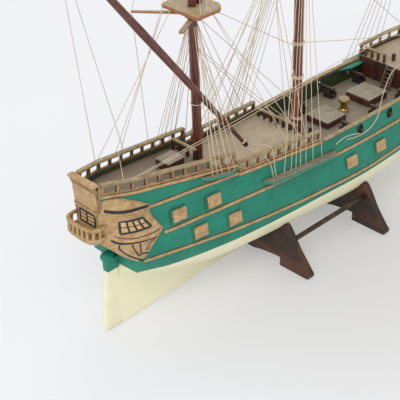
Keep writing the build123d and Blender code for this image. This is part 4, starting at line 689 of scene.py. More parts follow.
def make_hull():
    """Outer skin, rims and inner walls, painted cream under the waterline and green above it."""
    xs = hull_stations()
    shape = Shape()
    port_rows = [PORT_LOW, 128.7, 132.4, PORT_HIGH]
    low_count = 15
    side_count = 9
    rows = []
    for x in xs:
        keel = keel_z(x)
        water = max(WATERLINE(x), keel + 0.2)
        below_ports = max(BELOW_PORTS_Z, water + 0.2)
        zs = [keel + (water - keel) * i / low_count for i in range(low_count + 1)]
        zs += [water + (below_ports - water) * i / side_count for i in range(1, side_count + 1)]
        zs += [max(z, zs[-1] + 0.1) for z in [WALL_FOOT_Z] + port_rows + [SHARED_TOP]]
        rows.append([(x, 0.0, keel)] + [(x, hull_y(x, z), z) for z in zs])

    def skin_paint(i, k):
        return CREAM_SLOT if k <= low_count else GREEN_SLOT

    def outside_ports(i, k):
        a, b = rows[i][k], rows[i][k + 1]
        return not in_port(rows[i][0][0], rows[i + 1][0][0], a[2], b[2])

    shape.grid(rows, skin_paint, keep=outside_ports)

    breaks = (HULL_AFT_X, POOP_END_X, QD_BREAK_X, FC_BREAK_X, BOW_X)
    for start, end in zip(breaks, breaks[1:]):
        waist = start == QD_BREAK_X
        stretch = [x for x in xs if start <= x <= end]
        outer = []
        inner = []
        for x in stretch:
            top = max(rim_height(x, after=x < end), SHARED_TOP + 0.3)
            heights = spread(SHARED_TOP, top, (top - SHARED_TOP) / 3 + 0.01)
            outer.append([(x, hull_y(x, z), z) for z in heights])
            if waist:
                y_in = hull_y(x, WAIST_CAP_Z) - BULWARK_IN
                inner_zs = [top] + port_rows[::-1] + [WALL_FOOT_Z, WAIST_DECK_Z - 0.4]
            else:
                y_in = max(hull_y(x, top) - RIM_IN, 0.05)
                inner_zs = [top, top - 2.0, top - 5.5]
            inner.append([(x, y_in, z) for z in inner_zs])
        count = min(len(column) for column in outer)
        outer = [column[:count - 1] + [column[-1]] for column in outer]
        shape.grid(outer, GREEN_SLOT)
        shape.grid([[o[-1], i[0]] for o, i in zip(outer, inner)], RIM_SLOT)

        def inner_kept(i, k, inner=inner, waist=waist):
            if not waist:
                return True
            return not in_port(inner[i][0][0], inner[i + 1][0][0], inner[i][k][2], inner[i][k + 1][2])

        shape.grid(inner, INNER_SLOT, keep=inner_kept)
        for column_o, column_i in ((outer[0], inner[0]), (outer[-1], inner[-1])):
            shape.face([shape.point(*p) for p in column_o + column_i[:2]], GREEN_SLOT)

    for x in PORT_XS:
        corners = [(x - PORT_HALF, PORT_LOW), (x + PORT_HALF, PORT_LOW), (x + PORT_HALF, PORT_HIGH),
                   (x - PORT_HALF, PORT_HIGH), (x - PORT_HALF, PORT_LOW)]
        outer = [(px, hull_y(px, pz), pz) for px, pz in corners]
        inner = [(px, hull_y(px, WAIST_CAP_Z) - BULWARK_IN, pz) for px, pz in corners]
        shape.grid([outer, inner], INNER_SLOT)

    shape.mirror()
    for x, row in ((HULL_AFT_X, rows[0]), (BOW_X, rows[-1])):
        for (_, y0, z0), (_, y1, z1) in zip(row[1:], row[2:]):
            corners = [(x, y0, z0), (x, y1, z1), (x, -y1, z1), (x, -y0, z0)]
            cream = x == HULL_AFT_X and z1 < WATERLINE(x) + 0.1
            shape.face([shape.point(*p) for p in corners], CREAM_SLOT if cream else GREEN_SLOT)
    shape.finish("hull_skin", [CREAM, GREEN, DEEP_GREEN, RAIL], slot="hull_paint",
                 replaces=["hull_lower", "hull_upper_aft", "hull_upper_fore", "bulwarks"], sharp=40.0)


make_hull()


# ---------------------------------------------------------------- strips along the side
def wavy(x, seed, amount):
    """Small hand-cut unevenness along a strip."""
    return amount * (math.sin(x * 0.11 + seed) + 0.6 * math.sin(x * 0.29 + seed * 2.3)
                     + 0.4 * math.sin(x * 0.67 + seed))


def side_strip(shape, low, high, thick, x0, x1, seed, breadth=hull_y):
    """Rounded strip laid on the port side between the heights low(x) and high(x)."""
    rings = []
    for x in spread(x0, x1, 5.0):
        z0 = low(x) + wavy(x, seed, 0.06)
        z1 = high(x) + wavy(x, seed + 2.0, 0.06)
        out = thick + wavy(x, seed + 4.0, 0.05)
        tall = z1 - z0
        profile = [(-0.6, 0.0), (0.55 * out, 0.0), (0.88 * out, 0.12 * tall), (out, 0.32 * tall),
                   (out, 0.68 * tall), (0.88 * out, 0.88 * tall), (0.55 * out, tall), (-0.6, tall)]
        rings.append([(x, breadth(x, z0 + dz) + dy, z0 + dz) for dy, dz in profile])
    shape.loops(rings)


LOWER_WALE = through([(-203.0, 101.0), (-123.0, 93.5), (-60.0, 88.0), (61.0, 81.5), (135.0, 80.0),
                      (212.0, 81.5), (320.0, 91.0), (400.0, 112.0), (426.0, 125.0)])
MIDDLE_WALE = through([(-181.0, 123.5), (-118.0, 121.8), (86.0, 115.8), (210.0, 114.8),
                       (320.0, 121.0), (400.0, 134.0), (426.0, 144.0)])
UPPER_WALE = through([(-189.0, 158.0), (-118.0, 154.2), (-66.0, 150.6)])
WALE_HALF = 1.5
RIBBON_T = 1.6


def make_wales():
    """Wales with a dark line of dirt along their tops, and the strips under the open rails."""
    wales = Shape()
    grime = Shape()
    strips = Shape()
    for seed, (path, x0, x1, dirt_x0, dirt_x1) in enumerate((
            (LOWER_WALE, -202.0, 424.0, -194.0, 420.0), (MIDDLE_WALE, -173.0, 424.0, -168.0, 420.0),
            (UPPER_WALE, -189.5, POOP_END_X - 0.3, -180.0, POOP_END_X - 3.0))):
        side_strip(wales, lambda x: path(x) - WALE_HALF, lambda x: path(x) + WALE_HALF, RIBBON_T,
                   x0, x1, seed)
        side_strip(grime, lambda x: path(x) + WALE_HALF - 0.3,
                   lambda x: path(x) + WALE_HALF + 1.1 + wavy(1.7 * x, seed, 0.35), 0.18, dirt_x0, dirt_x1,
                   seed + 20)
    for seed, (rim, x0, x1) in enumerate((
            (poop_z, TAFFRAIL_X + 0.3, POOP_END_X), (quarterdeck_z, POOP_END_X + 0.2, QD_BREAK_X - 1.2),
            (forecastle_z, FC_BREAK_X + 1.0, 420.0))):
        side_strip(strips, lambda x: rim(x) - 3.2, rim, RIBBON_T, x0, x1, seed + 7, side_y)
    for shape, name, material, slot, node in (
            (wales, "side_wales", TAN, "tan_paint", ["wales"]),
            (grime, "wale_grime", GRIME, "green_paint", []),
            (strips, "edge_strips", TAN, "tan_paint", ["deck_edge_strips"])):
        shape.mirror()
        shape.finish(name, [material], slot=slot, replaces=node)


make_wales()


# ---------------------------------------------------------------- open rails
RAILS = (
    (-237.5, POOP_END_X, poop_z, 14.0),
    (POOP_END_X + 1.0, QD_BREAK_X - 2.0, quarterdeck_z, 13.0),
    (FC_BREAK_X - 2.0, 410.0, forecastle_z, 14.0),
)
POST_PITCH = 17.5
CAP_SECTION = [(math.copysign(abs(c) ** 0.55, c), math.copysign(abs(r) ** 0.55, r)) for c, r in
               ((math.cos(2 * math.pi * i / 12), math.sin(2 * math.pi * i / 12)) for i in range(12))]
CORNER_X = -237.2


def cap_run(shape, x0, x1, top, width, tall, offset=0.4):
    """Cap along one side rail, rounded over at its ends."""
    ends = ((0.0, 0.45), (0.3, 0.72), (1.0, 0.92))
    stations = [(x0 + step, share) for step, share in ends]
    stations += [(x, 1.0) for x in spread(x0 + 2.2, x1 - 2.2, 6.0)]
    stations += [(x1 - step, share) for step, share in reversed(ends)]
    rings = []
    for x, share in stations:
        y = side_y(x, top(x)) - offset
        z = top(x) + wavy(x, width, 0.05) - tall / 2
        rings.append([(x, y + width / 2 * share * c, z + tall * share / 2 * r) for c, r in CAP_SECTION])
    shape.loops(rings)


def flared_post(shape, x, y, z0, z1, width, thick, flare):
    """Flat post that widens in a curve into the strip below and the cap above."""
    rings = []
    for i in range(9):
        t = i / 8
        end = abs(2 * t - 1) ** 4
        half = width / 2 + flare * end
        deep = thick / 2 + 0.15 * end
        z = z0 + (z1 - z0) * t
        rings.append([(x + half * a, y + deep * b, z) for a, b in EIGHT])
    shape.loops(rings)


def transom_x(z):
    """Place of the transom's leaning aft face at height z."""
    return -241.0 - max(z - LEAN_FOOT_Z, 0.0) * TRANSOM_LEAN


def corner_posts(shape):
    """The port corner post of the stern and the fillet between it and the transom."""
    y = side_y(CORNER_X, poop_z(CORNER_X) + 7.0) - 0.9
    flared_post(shape, CORNER_X, y, poop_z(CORNER_X) - 1.0, poop_z(CORNER_X) + 12.6, 8.8, 3.6, 0.6)
    rings = []
    for z in (168.0, 172.0, 180.0, 188.0, 195.5):
        x = transom_x(z) + 0.4
        outer = side_y(-237.0, z) - 0.3
        rings.append([(x, 15.5, z), (x, outer - 1.6, z), (x + 0.8, outer - 0.5, z), (x + 2.2, outer, z),
                      (-234.0, outer, z), (-234.0, outer - 2.4, z), (-238.0, 15.5, z)])
    shape.loops(rings)


def cross_caps(shape):
    """Rounded caps over the rails that run across the decks."""
    for group in islands("rail_caps"):
        low = Vector([min(p[i] for p in group) for i in range(3)])
        high = Vector([max(p[i] for p in group) for i in range(3)])
        size = high - low
        if size.x > 6.0:
            continue
        middle = (low + high) / 2
        rings = []
        ys = [low.y, low.y + 0.5] + spread(low.y + 1.5, high.y - 1.5, 5.0) + [high.y - 0.5, high.y]
        for y in ys:
            share = 0.75 if y in (low.y, high.y) else 1.0
            z = middle.z + wavy(y, 3.0, 0.05)
            rings.append([(middle.x + size.x / 2 * share * a, y, z + size.z * share * b) for a, b in
                          ((-1, -0.32), (-0.75, -0.5), (0.75, -0.5), (1, -0.32),
                           (1, 0.32), (0.75, 0.5), (-0.75, 0.5), (-1, 0.32))])
        shape.loops(rings)


def make_rails():
    """Caps, sills and flared posts of the open side rails, and the bulwark's cap."""
    caps = Shape()
    posts = Shape()
    for x0, x1, rim, tall in RAILS:
        cap_run(caps, x0, x1, lambda x: rim(x) + tall, 5.6, 3.6, 0.8)
        first = max(x0, FC_BREAK_X + 0.5) if rim is forecastle_z else x0
        cap_run(posts, first, x1, lambda x: rim(x) + 2.6, 3.6, 3.0, 1.2)
        for x in spread(first + 1.5, x1 - 1.5, POST_PITCH):
            y = side_y(x, rim(x) + tall) - 0.4
            at_end = x < first + 2.0 or x > x1 - 2.0
            shift = random.uniform(-0.4, 0.4) * (not at_end)
            width = 4.4 if at_end else random.uniform(3.2, 3.9)
            flared_post(posts, x + shift, y, rim(x) + 0.9, rim(x) + tall - CAP_T + 0.2, width, 2.8,
                        0.8 if at_end else 2.6)
    cap_run(caps, QD_BREAK_X + 0.3, FC_BREAK_X - 0.3, lambda x: WAIST_CAP_Z, 5.9, CAP_T)
    corner_posts(posts)
    caps.mirror()
    posts.mirror()
    cross_caps(caps)
    caps.finish("rail_caps_round", [RAIL], slot="tan_paint", replaces=["rail_caps"], sharp=60.0)
    posts.finish("rail_posts_flared", [POST], slot="tan_paint", replaces=["rail_posts"], sharp=60.0)


def make_cross_posts():
    """Posts of the cross rails: dark red at the quarterdeck and poop, tan at the forecastle."""
    mesh = soften("cross_rail_posts", RED_WOOD, "dark_red_wood", 0.35).data
    mesh.materials.append(POST)
    for polygon in mesh.polygons:
        if polygon.center.x > (FC_BREAK_X - 20.0 - MID_X) * MM:
            polygon.material_index = 1


make_rails()
make_cross_posts()


# ---------------------------------------------------------------- painted lines laid on a surface
def path_through(points, count):
    """Smooth run of pairs through the given pairs, evenly spaced by number."""
    shares = [i / (len(points) - 1) for i in range(len(points))]
    firsts = [p[0] for p in points]
    seconds = [p[1] for p in points]
    return [(smooth(i / count, shares, firsts), smooth(i / count, shares, seconds)) for i in range(count + 1)]


def inlay(shape, surface, points, width, high, material, taper=1.0, bend=True):
    """Raised painted line on a surface(u, v) through (u, v) points; taper is its far end's share of width."""
    run = path_through(points, 6 * len(points)) if bend else points
    places = [surface(u, v) for u, v in run]
    rings = []
    for i, (spot, normal) in enumerate(places):
        before = places[max(i - 1, 0)][0]
        after = places[min(i + 1, len(places) - 1)][0]
        across = normal.cross((after - before).normalized()).normalized()
        half = width / 2 * (1.0 + (taper - 1.0) * i / (len(places) - 1))
        if i in (0, len(places) - 1):
            half *= 0.7
        rings.append([tuple(spot + across * (half * side) + normal * (high * up)) for side, up in
                      ((-1.0, -0.5), (-0.95, 0.45), (-0.55, 1.0), (0.55, 1.0), (0.95, 0.45), (1.0, -0.5))])
    shape.loops(rings, material)


def within(corners, share_u, share_v):
    """The (u, v) place at two shares of a four-cornered field."""
    (u0, v0), (u1, v1), (u2, v2), (u3, v3) = corners
    u = (u0 * (1 - share_u) + u1 * share_u) * (1 - share_v) + (u3 * (1 - share_u) + u2 * share_u) * share_v
    v = (v0 * (1 - share_u) + v1 * share_u) * (1 - share_v) + (v3 * (1 - share_u) + v2 * share_u) * share_v
    return u, v


def pad(shape, surface, corners, high, material):
    """Low raised pad with sloping edges between four (u, v) corners."""
    rings = []
    for low, out in ((0.0, -0.2), (0.03, high * 0.6), (0.12, high)):
        top = 1 - low
        ring = []
        for share_u, share_v in ((low, low), (0.5, low), (top, low), (top, 0.5), (top, top), (0.5, top),
                                 (low, top), (low, 0.5)):
            point, normal = surface(*within(corners, share_u, share_v))
            ring.append(tuple(point + normal * out))
        rings.append(ring)
    shape.loops(rings, material)


def window(shape, surface, corners, bars, rows, frame_w, bar_w):
    """Leaded window: navy frame and bars, brown cross bars, pale raised panes."""
    high = 0.5
    columns = [0.0] + list(bars) + [1.0]
    levels = [i / rows for i in range(rows + 1)]

    def bar(ends, width, rise, material):
        (u0, v0), (u1, v1), steps = ends
        run = [within(corners, u0 + (u1 - u0) * i / steps, v0 + (v1 - v0) * i / steps)
               for i in range(steps + 1)]
        inlay(shape, surface, run, width, rise, material, bend=False)

    for u0, u1 in zip(columns, columns[1:]):
        for v0, v1 in zip(levels, levels[1:]):
            left, right, foot, head = u0 + 0.02, u1 - 0.02, v0 + 0.03, v1 - 0.03
            pane = [within(corners, u, v) for u, v in
                    ((left, foot), (right, foot), (right, head), (left, head))]
            pad(shape, surface, pane, high * 0.5, PALE)
    for v in levels[1:-1]:
        bar(((0.0, v), (1.0, v), 8), bar_w * 0.6, high * 0.8, BROWN)
    for u in bars:
        bar(((u, 0.0), (u, 1.0), 6), bar_w, high, NAVY)
    for v in (0.0, 1.0):
        bar(((0.0, v), (1.0, v), 12), frame_w, high * 1.1, NAVY)
    for u in (0.0, 1.0):
        bar(((u, 0.0), (u, 1.0), 6), frame_w, high * 1.1, NAVY)


STERN_PAINTS = [TAN, INK, PANE, BROWN_INK]
PLAIN, NAVY, PALE, BROWN = range(4)


# ---------------------------------------------------------------- quarter galleries
GALLERY_LEVELS = [
    (99.0, -204.5, 36.3, -199.5, 38.2, 0.8), (112.0, -222.0, 28.5, -190.5, 39.0, 5.0),
    (124.0, -234.0, 20.5, -179.5, 40.0, 9.0), (130.0, -240.0, 17.8, -174.0, 39.3, 11.5),
    (136.0, -239.5, 17.8, -178.5, 38.6, 8.5), (157.0, -240.5, 17.8, -189.0, 35.5, 9.0),
    (161.0, -240.8, 17.8, -188.0, 34.6, 11.5), (170.0, -239.5, 17.8, -198.0, 31.5, 7.5),
    (176.5, -236.0, 18.2, -210.0, 28.5, 3.0),
]
LEVEL_ZS = [level[0] for level in GALLERY_LEVELS]
GALLERY_FOOT_Z = LEVEL_ZS[0]
GALLERY_EAVE = through([(0.0, 172.5), (0.35, 169.6), (0.55, 168.4), (0.76, 167.2), (1.0, 163.5)])
GALLERY_ROOF = through([(-236.0, 181.8), (-228.0, 181.6), (-218.8, 179.9), (-207.7, 174.5), (-196.0, 168.0),
                        (-190.4, 164.0)])


# Points, width, height, paint and the far end's share of the width of each painted line.
GALLERY_LINES = (
    ([(0.18, 140.0), (0.29, 136.5), (0.46, 133.5), (0.73, 132.5), (0.95, 131.8)], 1.0, 0.3, BROWN),
    ([(0.13, 135.0), (0.21, 132.0), (0.34, 130.0), (0.54, 128.5), (0.76, 126.5), (0.9, 125.5)],
     2.2, 0.45, NAVY, 0.5),
    ([(0.24, 129.5), (0.17, 122.0), (0.18, 116.0), (0.26, 109.5), (0.45, 104.0), (0.62, 101.2)],
     1.6, 0.4, NAVY, 1.3),
    ([(0.42, 128.0), (0.42, 123.0), (0.48, 110.0)], 1.3, 0.35, NAVY),
    ([(0.55, 126.5), (0.57, 120.0), (0.58, 113.5)], 1.5, 0.35, NAVY),
    ([(0.47, 110.0), (0.62, 112.0), (0.97, 108.5)], 1.6, 0.4, NAVY),
    ([(0.82, 124.5), (0.73, 121.0), (0.74, 113.5)], 0.8, 0.3, BROWN),
    ([(0.87, 125.0), (0.79, 119.5), (0.82, 113.0)], 0.8, 0.3, BROWN),
    ([(0.45, 103.2), (0.65, 102.0), (0.9, 100.8)], 2.6, 0.5, NAVY),
)


def gallery_spot(t, z):
    """Point of the port gallery's side, t running from its aft edge to its fore edge."""
    xa, ya, xf, yf, bulge = (smooth(z, LEVEL_ZS, [level[k] for level in GALLERY_LEVELS]) for k in range(1, 6))
    run_x = xf - xa
    run_y = yf - ya
    out = bulge * math.sin(math.pi * t) ** 0.7 / math.hypot(run_x, run_y) if 0 < t < 1 else 0.0
    return Vector((xa + run_x * t - run_y * out, ya + run_y * t + run_x * out, z))


def gallery_surface(t, z):
    """Point and outward normal of the gallery's side."""
    nudge = 0.01
    t = min(max(t, nudge), 1 - nudge)
    along = gallery_spot(t + nudge, z) - gallery_spot(t - nudge, z)
    rise = gallery_spot(t, z + 0.5) - gallery_spot(t, z - 0.5)
    normal = rise.cross(along).normalized()
    if normal.y < 0:
        normal.negate()
    return gallery_spot(t, z), normal


def gallery_ring(side, lap, inset):
    """The side's points closed behind by three points inside the hull."""
    fore = side[-1]
    aft = side[0]
    behind = [fore - Vector((0.5, inset, 0)), aft + Vector((4.5, -inset, 0)), aft + Vector((lap, -1.4, 0))]
    return [tuple(p) for p in side + behind]


def make_galleries():
    """Bulging side of each quarter gallery under a rounded roof, with its window and painted lines."""
    shape = Shape()
    ts = [i / 28 for i in range(29)]
    rings = []
    for k in range(37):
        side = [gallery_spot(t, GALLERY_FOOT_Z + (GALLERY_EAVE(t) - GALLERY_FOOT_Z) * k / 36) for t in ts]
        rings.append(gallery_ring(side, -1.2 if side[0].z > 129.0 else 3.0, 4.0))
    for k in range(1, 9):
        turn = k / 8 * math.pi / 2
        inward = Vector((1 - math.cos(turn), 1 - math.cos(turn), math.sin(turn)))
        side = []
        for t in ts:
            x = -236.0 + 45.6 * t
            eave = gallery_spot(t, GALLERY_EAVE(t))
            wall = Vector((x, side_y(x, GALLERY_ROOF(x)) - 0.6, GALLERY_ROOF(x)))
            side.append(eave + (wall - eave) * inward)
        rings.append(gallery_ring(side, -1.0, 2.5))
    shape.loops(rings)
    for drop, marks, width, high, material, taper in (
            (1.2, (0.07, 0.2, 0.35, 0.5, 0.65, 0.8, 0.97), 3.2, 0.9, NAVY, 0.8),
            (6.0, (0.04, 0.2, 0.4, 0.6, 0.8, 0.98), 1.8, 0.6, PLAIN, 1.0)):
        eave = [(t, GALLERY_EAVE(t) - drop) for t in marks]
        inlay(shape, gallery_surface, eave, width, high, material, taper)
    window(shape, gallery_surface, [(0.33, 157.5), (0.81, 154.0), (0.86, 140.0), (0.30, 142.0)],
           (0.28, 0.53, 0.76), 2, 2.7, 2.2)
    for line in GALLERY_LINES:
        inlay(shape, gallery_surface, *line)
    shape.mirror()
    shape.finish("stern_galleries", STERN_PAINTS, slot="tan_paint", replaces=["quarter_galleries"],
                 sharp=50.0)


make_galleries()


# ---------------------------------------------------------------- transom, balcony and rudder
def transom_surface(y, z):
    """Point and outward normal of the transom's leaning aft face."""
    lean = TRANSOM_LEAN if z > LEAN_FOOT_Z else 0.0
    return Vector((transom_x(z), y, z)), Vector((-1.0, 0.0, -lean)).normalized()


def make_transom_details():
    """Stern window, mouldings across the transom and thin lines down its edges."""
    shape = Shape()
    window(shape, transom_surface, [(11.3, 162.2), (-11.3, 162.2), (-11.3, 148.6), (11.3, 148.6)],
           (0.46,), 3, 2.7, 2.6)
    for y, z, width, high, material in ((17.4, 167.6, 2.6, 1.6, PLAIN), (17.2, 165.8, 1.0, 0.5, BROWN),
                                        (17.4, 196.4, 3.4, 1.5, PLAIN), (17.2, 193.6, 1.2, 0.8, PLAIN)):
        inlay(shape, transom_surface, [(y, z), (-y, z)], width, high, material, bend=False)
    for side in (-1, 1):
        edge = [(side * 15.6, 172.0), (side * 15.3, 160.0), (side * 15.6, 150.0)]
        inlay(shape, transom_surface, edge, 0.9, 0.3, BROWN)
    shape.finish("transom_details", STERN_PAINTS, slot="tan_paint", sharp=50.0)


make_transom_details()

BALCONY_AFT_X = -241.2
BALCONY_REACH = 15.8
BALCONY_HALF = 24.0
BALCONY_SQUARENESS = 2 / 3
BALUSTER_PLAN = ((-1, -0.7), (-0.8, -1), (0.8, -1), (1, -0.7), (1, 0.7), (0.8, 1), (-0.8, 1), (-1, 0.7))


def bow_path(inset, count):
    """Squared-off bow aft of the transom, evenly stepped, with straight ends run into the galleries."""
    raw = []
    fine = 240
    for i in range(fine + 1):
        c = math.cos(math.pi * i / fine)
        r = max(math.sin(math.pi * i / fine), 0.0)
        raw.append(Vector((BALCONY_AFT_X - (BALCONY_REACH - inset) * r ** BALCONY_SQUARENESS,
                           -(BALCONY_HALF - inset) * math.copysign(abs(c) ** BALCONY_SQUARENESS, c), 0.0)))
    steps = [0.0]
    for a, b in zip(raw, raw[1:]):
        steps.append(steps[-1] + (b - a).length)
    result = []
    for i in range(count + 1):
        goal = steps[-1] * i / count
        k = min(max(j for j in range(len(steps)) if steps[j] <= goal), fine - 1)
        share = (goal - steps[k]) / max(steps[k + 1] - steps[k], 1e-9)
        result.append(raw[k].lerp(raw[k + 1], share))
    return result


def make_balcony():
    """Thick rounded rail on chunky flat balusters round the stern balcony, and its floor."""
    inset = 2.1
    count = 9
    shape = Shape()
    path = bow_path(inset, 48)
    run = [path[0] + Vector((5.0, 1.2, 0)), path[0] + Vector((2.5, 0.3, 0))] + path
    run += [path[-1] + Vector((2.5, -0.3, 0)), path[-1] + Vector((5.0, -1.2, 0))]
    high = [p + Vector((0, 0, 152.1 + wavy(i * 3.0, 1.0, 0.1))) for i, p in enumerate(run)]
    shape.loops(tube_rings(high, 2.15, 12))
    shape.loops(tube_rings([p + Vector((0, 0, 139.6)) for p in run], 1.5, 10))
    marks = bow_path(inset, 2 * count)
    for before, centre, after in zip(marks[0::2], marks[1::2], marks[2::2]):
        along = (after - before).normalized()
        out = Vector((along.y, -along.x, 0.0))
        rings = []
        for k in range(9):
            share = k / 8
            end = abs(2 * share - 1) ** 4
            half = along * (1.45 + 1.3 * end + random.uniform(-0.05, 0.05))
            deep = out * (1.1 + 0.3 * end)
            middle = centre + Vector((0, 0, 139.2 + 12.4 * share))
            rings.append([tuple(middle + half * a + deep * b) for a, b in BALUSTER_PLAN])
        shape.loops(rings)
    shape.finish("stern_balcony_rail", [TAN], slot="tan_paint", replaces=["balcony_rail"], sharp=60.0)
    shape = Shape()
    shape.loops([[tuple(p + Vector((0, 0, z))) for p in bow_path(inset, 40)] for inset, z in
                 ((7.5, 131.0), (4.0, 133.6), (1.6, 136.6), (0.7, 138.2), (0.7, 139.0), (1.3, 139.4))])
    shape.finish("stern_balcony_floor", [TAN], slot="tan_paint", replaces=["balcony_floor"], sharp=50.0)


def make_counter():
    """Flat green counter closing the hull's aft end, eased into its sides."""
    shape = Shape()
    rings = []
    for aft, inset in ((-0.2, 0.0), (1.2, 0.1), (1.9, 0.5), (2.2, 1.2)):
        low = 85.2 + inset
        high = 103.0 - inset
        side = [(4.0, 83.2 + inset)]
        side += [(hull_y(HULL_AFT_X, z) - inset, z) for z in (low + (high - low) * i / 8 for i in range(9))]
        x = HULL_AFT_X - aft
        rings.append([(x, y, z) for y, z in side] + [(x, -y, z) for y, z in reversed(side)])
    shape.loops(rings)
    shape.finish("lower_counter", [GREEN], slot="green_paint", replaces=["counter_plate"], sharp=60.0)


make_counter()


def make_rudder():
    """Rudder, sternpost and the hull's aft edge as one painted blade, with the rudder's green head."""
    outline = [(-204.6, 1.6), (-215.0, 1.5), (-221.5, 1.6), (-224.4, 2.6), (-226.0, 4.8), (-226.4, 8.0),
               (-225.4, 22.0), (-224.2, 38.0), (-223.0, 54.0), (-221.8, 68.0), (-221.0, 79.0), (-221.0, 81.5),
               (-213.0, 82.0), (-204.6, 82.0), (-204.6, 60.0), (-204.6, 30.0)]
    middle_x = -214.0
    shape = Shape()
    rings = []
    for y, inset in ((-2.5, 0.8), (-2.3, 0.3), (-1.8, 0.0), (1.8, 0.0), (2.3, 0.3), (2.5, 0.8)):
        ring = []
        for x, z in outline:
            ease = 0.0 if x > HULL_AFT_X else math.copysign(inset, middle_x - x)
            ring.append((x + ease, y, z + inset * (z < 3.0)))
        rings.append(ring)
    shape.loops(rings)
    rings = []
    for share in (0.0, 0.2, 0.6, 1.0):
        x0 = -221.6 - 0.6 * share
        half = 4.0 + 0.6 * share
        z = 78.6 + 15.0 * share
        plan = ((x0 + 1.0, -half), (-206.0, -half), (-206.0, half), (x0 + 1.0, half), (x0, half - 1.0),
                (x0, 1.0 - half))
        rings.append([(x, y, z) for x, y in plan])
    shape.loops(rings, 1)
    rings = []
    for turn in (math.pi * k / 16 for k in range(1, 16)):
        size = math.sin(turn)
        rings.append(disc(-217.8, 0.0, 96.6 - 5.8 * math.cos(turn), 8.8 * size, 6.0 * size, 20))
    shape.loops(rings, 1)
    shape.finish("rudder_blade", [KEEL_PAINT, GREEN], slot="hull_paint", replaces=["rudder", "sternpost"],
                 sharp=50.0)


def make_drumhead():
    """Domed drumhead over the capstan's barrel."""
    group = islands("capstan")[0]
    x, y, _ = middle_of(group)
    top = max(p.z for p in group) + 0.6
    shape = Shape()
    shape.loops([disc(x, y, top + drop, radius, radius, 28) for radius, drop in
                 ((5.2, -4.2), (6.8, -3.9), (7.4, -3.0), (7.2, -1.9), (6.2, -0.9), (4.4, -0.3), (2.2, -0.1),
                  (0.4, 0.0))])
    shape.finish("capstan_drumhead", [RAIL], slot="tan_paint", sharp=60.0)


make_drumhead()


# ---------------------------------------------------------------- plain CAD nodes with eased edges
SOFT_NODES = (
    ("lid_backings", GREEN, "green_paint", 0.25), ("channels", CHANNEL_TOP, "green_paint", 0.5),
    ("transom", TAN, "tan_paint", 0.9, "ship", 3), ("taffrail_cap", TAN, "tan_paint", 0.5),
    ("break_bulkheads", RED_WOOD, "dark_red_wood", 0.25), ("hatch_coamings", RED_WOOD, "dark_red_wood", 0.4),
    ("hatch_planks", HATCH, "deck_wood", 0.3), ("bitts", RED_WOOD, "dark_red_wood", 0.4),
    ("forecastle_ladder", LADDER, "dark_red_wood", 0.15), ("gun_carriages", CARRIAGE, "dark_red_wood", 0.2),
    ("mast_tops", TOP_TAN, "tan_paint", 0.45), ("mast_caps", SPAR, "spar_wood", 0.35),
    ("bowsprit_cap", SPAR, "spar_wood", 0.35), ("outriggers", TOP_TAN, "tan_paint", 0.25),
    ("stem", KEEL_PAINT, "hull_paint", 0.7),
    ("cradle_board_aft", WALNUT, "walnut", 1.1, "stand", 3),
    ("cradle_board_fore", WALNUT, "walnut", 1.1, "stand", 3),
    ("stand_dowels", WALNUT, "walnut", 0.2, "stand"), ("stand_pins", BRASS, "brass", 0.1, "stand"),
)
PLAIN_NODES = (
    ("hull_stern_block", BLOCK_GREEN), ("upper_decks", DECK), ("waist_deck", WAIST_DECK),
    ("mizzen_mast", SPAR), ("main_mast", SPAR), ("fore_mast", SPAR), ("topmasts", SPAR),
    ("topgallant_poles", SPAR),
    ("square_yards", YARD), ("lateen_yard", YARD), ("bowsprit", YARD), ("jibboom", YARD), ("capstan", BRASS),
    ("gun_barrels", BARREL),
)

lids = soften("gunport_lids", TAN, "tan_paint", 0.55)
shrink_islands(lids.data, Vector((0.95, 1.0, 0.87)))
for row in SOFT_NODES:
    soften(*row)
for plain, finish in PLAIN_NODES:
    paint(plain, finish)


# ---------------------------------------------------------------- rigging
THREAD_R = 0.4


def tube_rings(points, radius, sides=6):
    """Rings of points round a path, in working millimetres."""
    rings = []
    side = None
    for i, point in enumerate(points):
        before = points[max(i - 1, 0)]
        after = points[min(i + 1, len(points) - 1)]
        along = (after - before).normalized()
        if side is None:
            side = along.cross(Vector((0.3, 0.5, 0.8))).normalized()
        side = (side - along * side.dot(along)).normalized()
        other = along.cross(side)
        ring = []
        for k in range(sides):
            angle = 2 * math.pi * k / sides
            ring.append(tuple(point + (side * math.cos(angle) + other * math.sin(angle)) * radius))
        rings.append(ring)
    return rings


def make_line(shape, start, end, sag):
    """One thread between two points with a little slack in it."""
    count = 14
    points = []
    for i in range(count + 1):
        t = i / count
        point = start.lerp(end, t)
        point.z -= sag * 4 * t * (1 - t)
        points.append(point)
    shape.loops(tube_rings(points, THREAD_R))


# Where halyards and braces are made fast along the rail, and how high they lead.
HALYARDS = ((-52.0, 334.0), (-38.0, 326.0), (-27.0, 338.0), (12.0, 330.0), (26.0, 322.0), (40.0, 336.0))
BRACES = ((-96.0, 300.0), (-80.0, 292.0), (-60.0, 304.0))
# Lines of the CAD, the pieces they become, and their slack as a share of their level length.
THREAD_SETS = (
    ("lower_shrouds", "lower_shroud_threads", 0.004), ("topmast_shrouds", "topmast_threads", 0.003),
    ("stays", "stay_threads", 0.004), ("vangs", "vang_threads", 0.003),
    ("running_lines", "running_threads", 0.006),
)


def rail_foot(x, side):
    """Point on top of the side rail."""
    z = poop_z(x) + 14.0 if x < POOP_END_X else quarterdeck_z(x) + 13.0
    return Vector((x, side * (side_y(x, z) - 0.4), z))


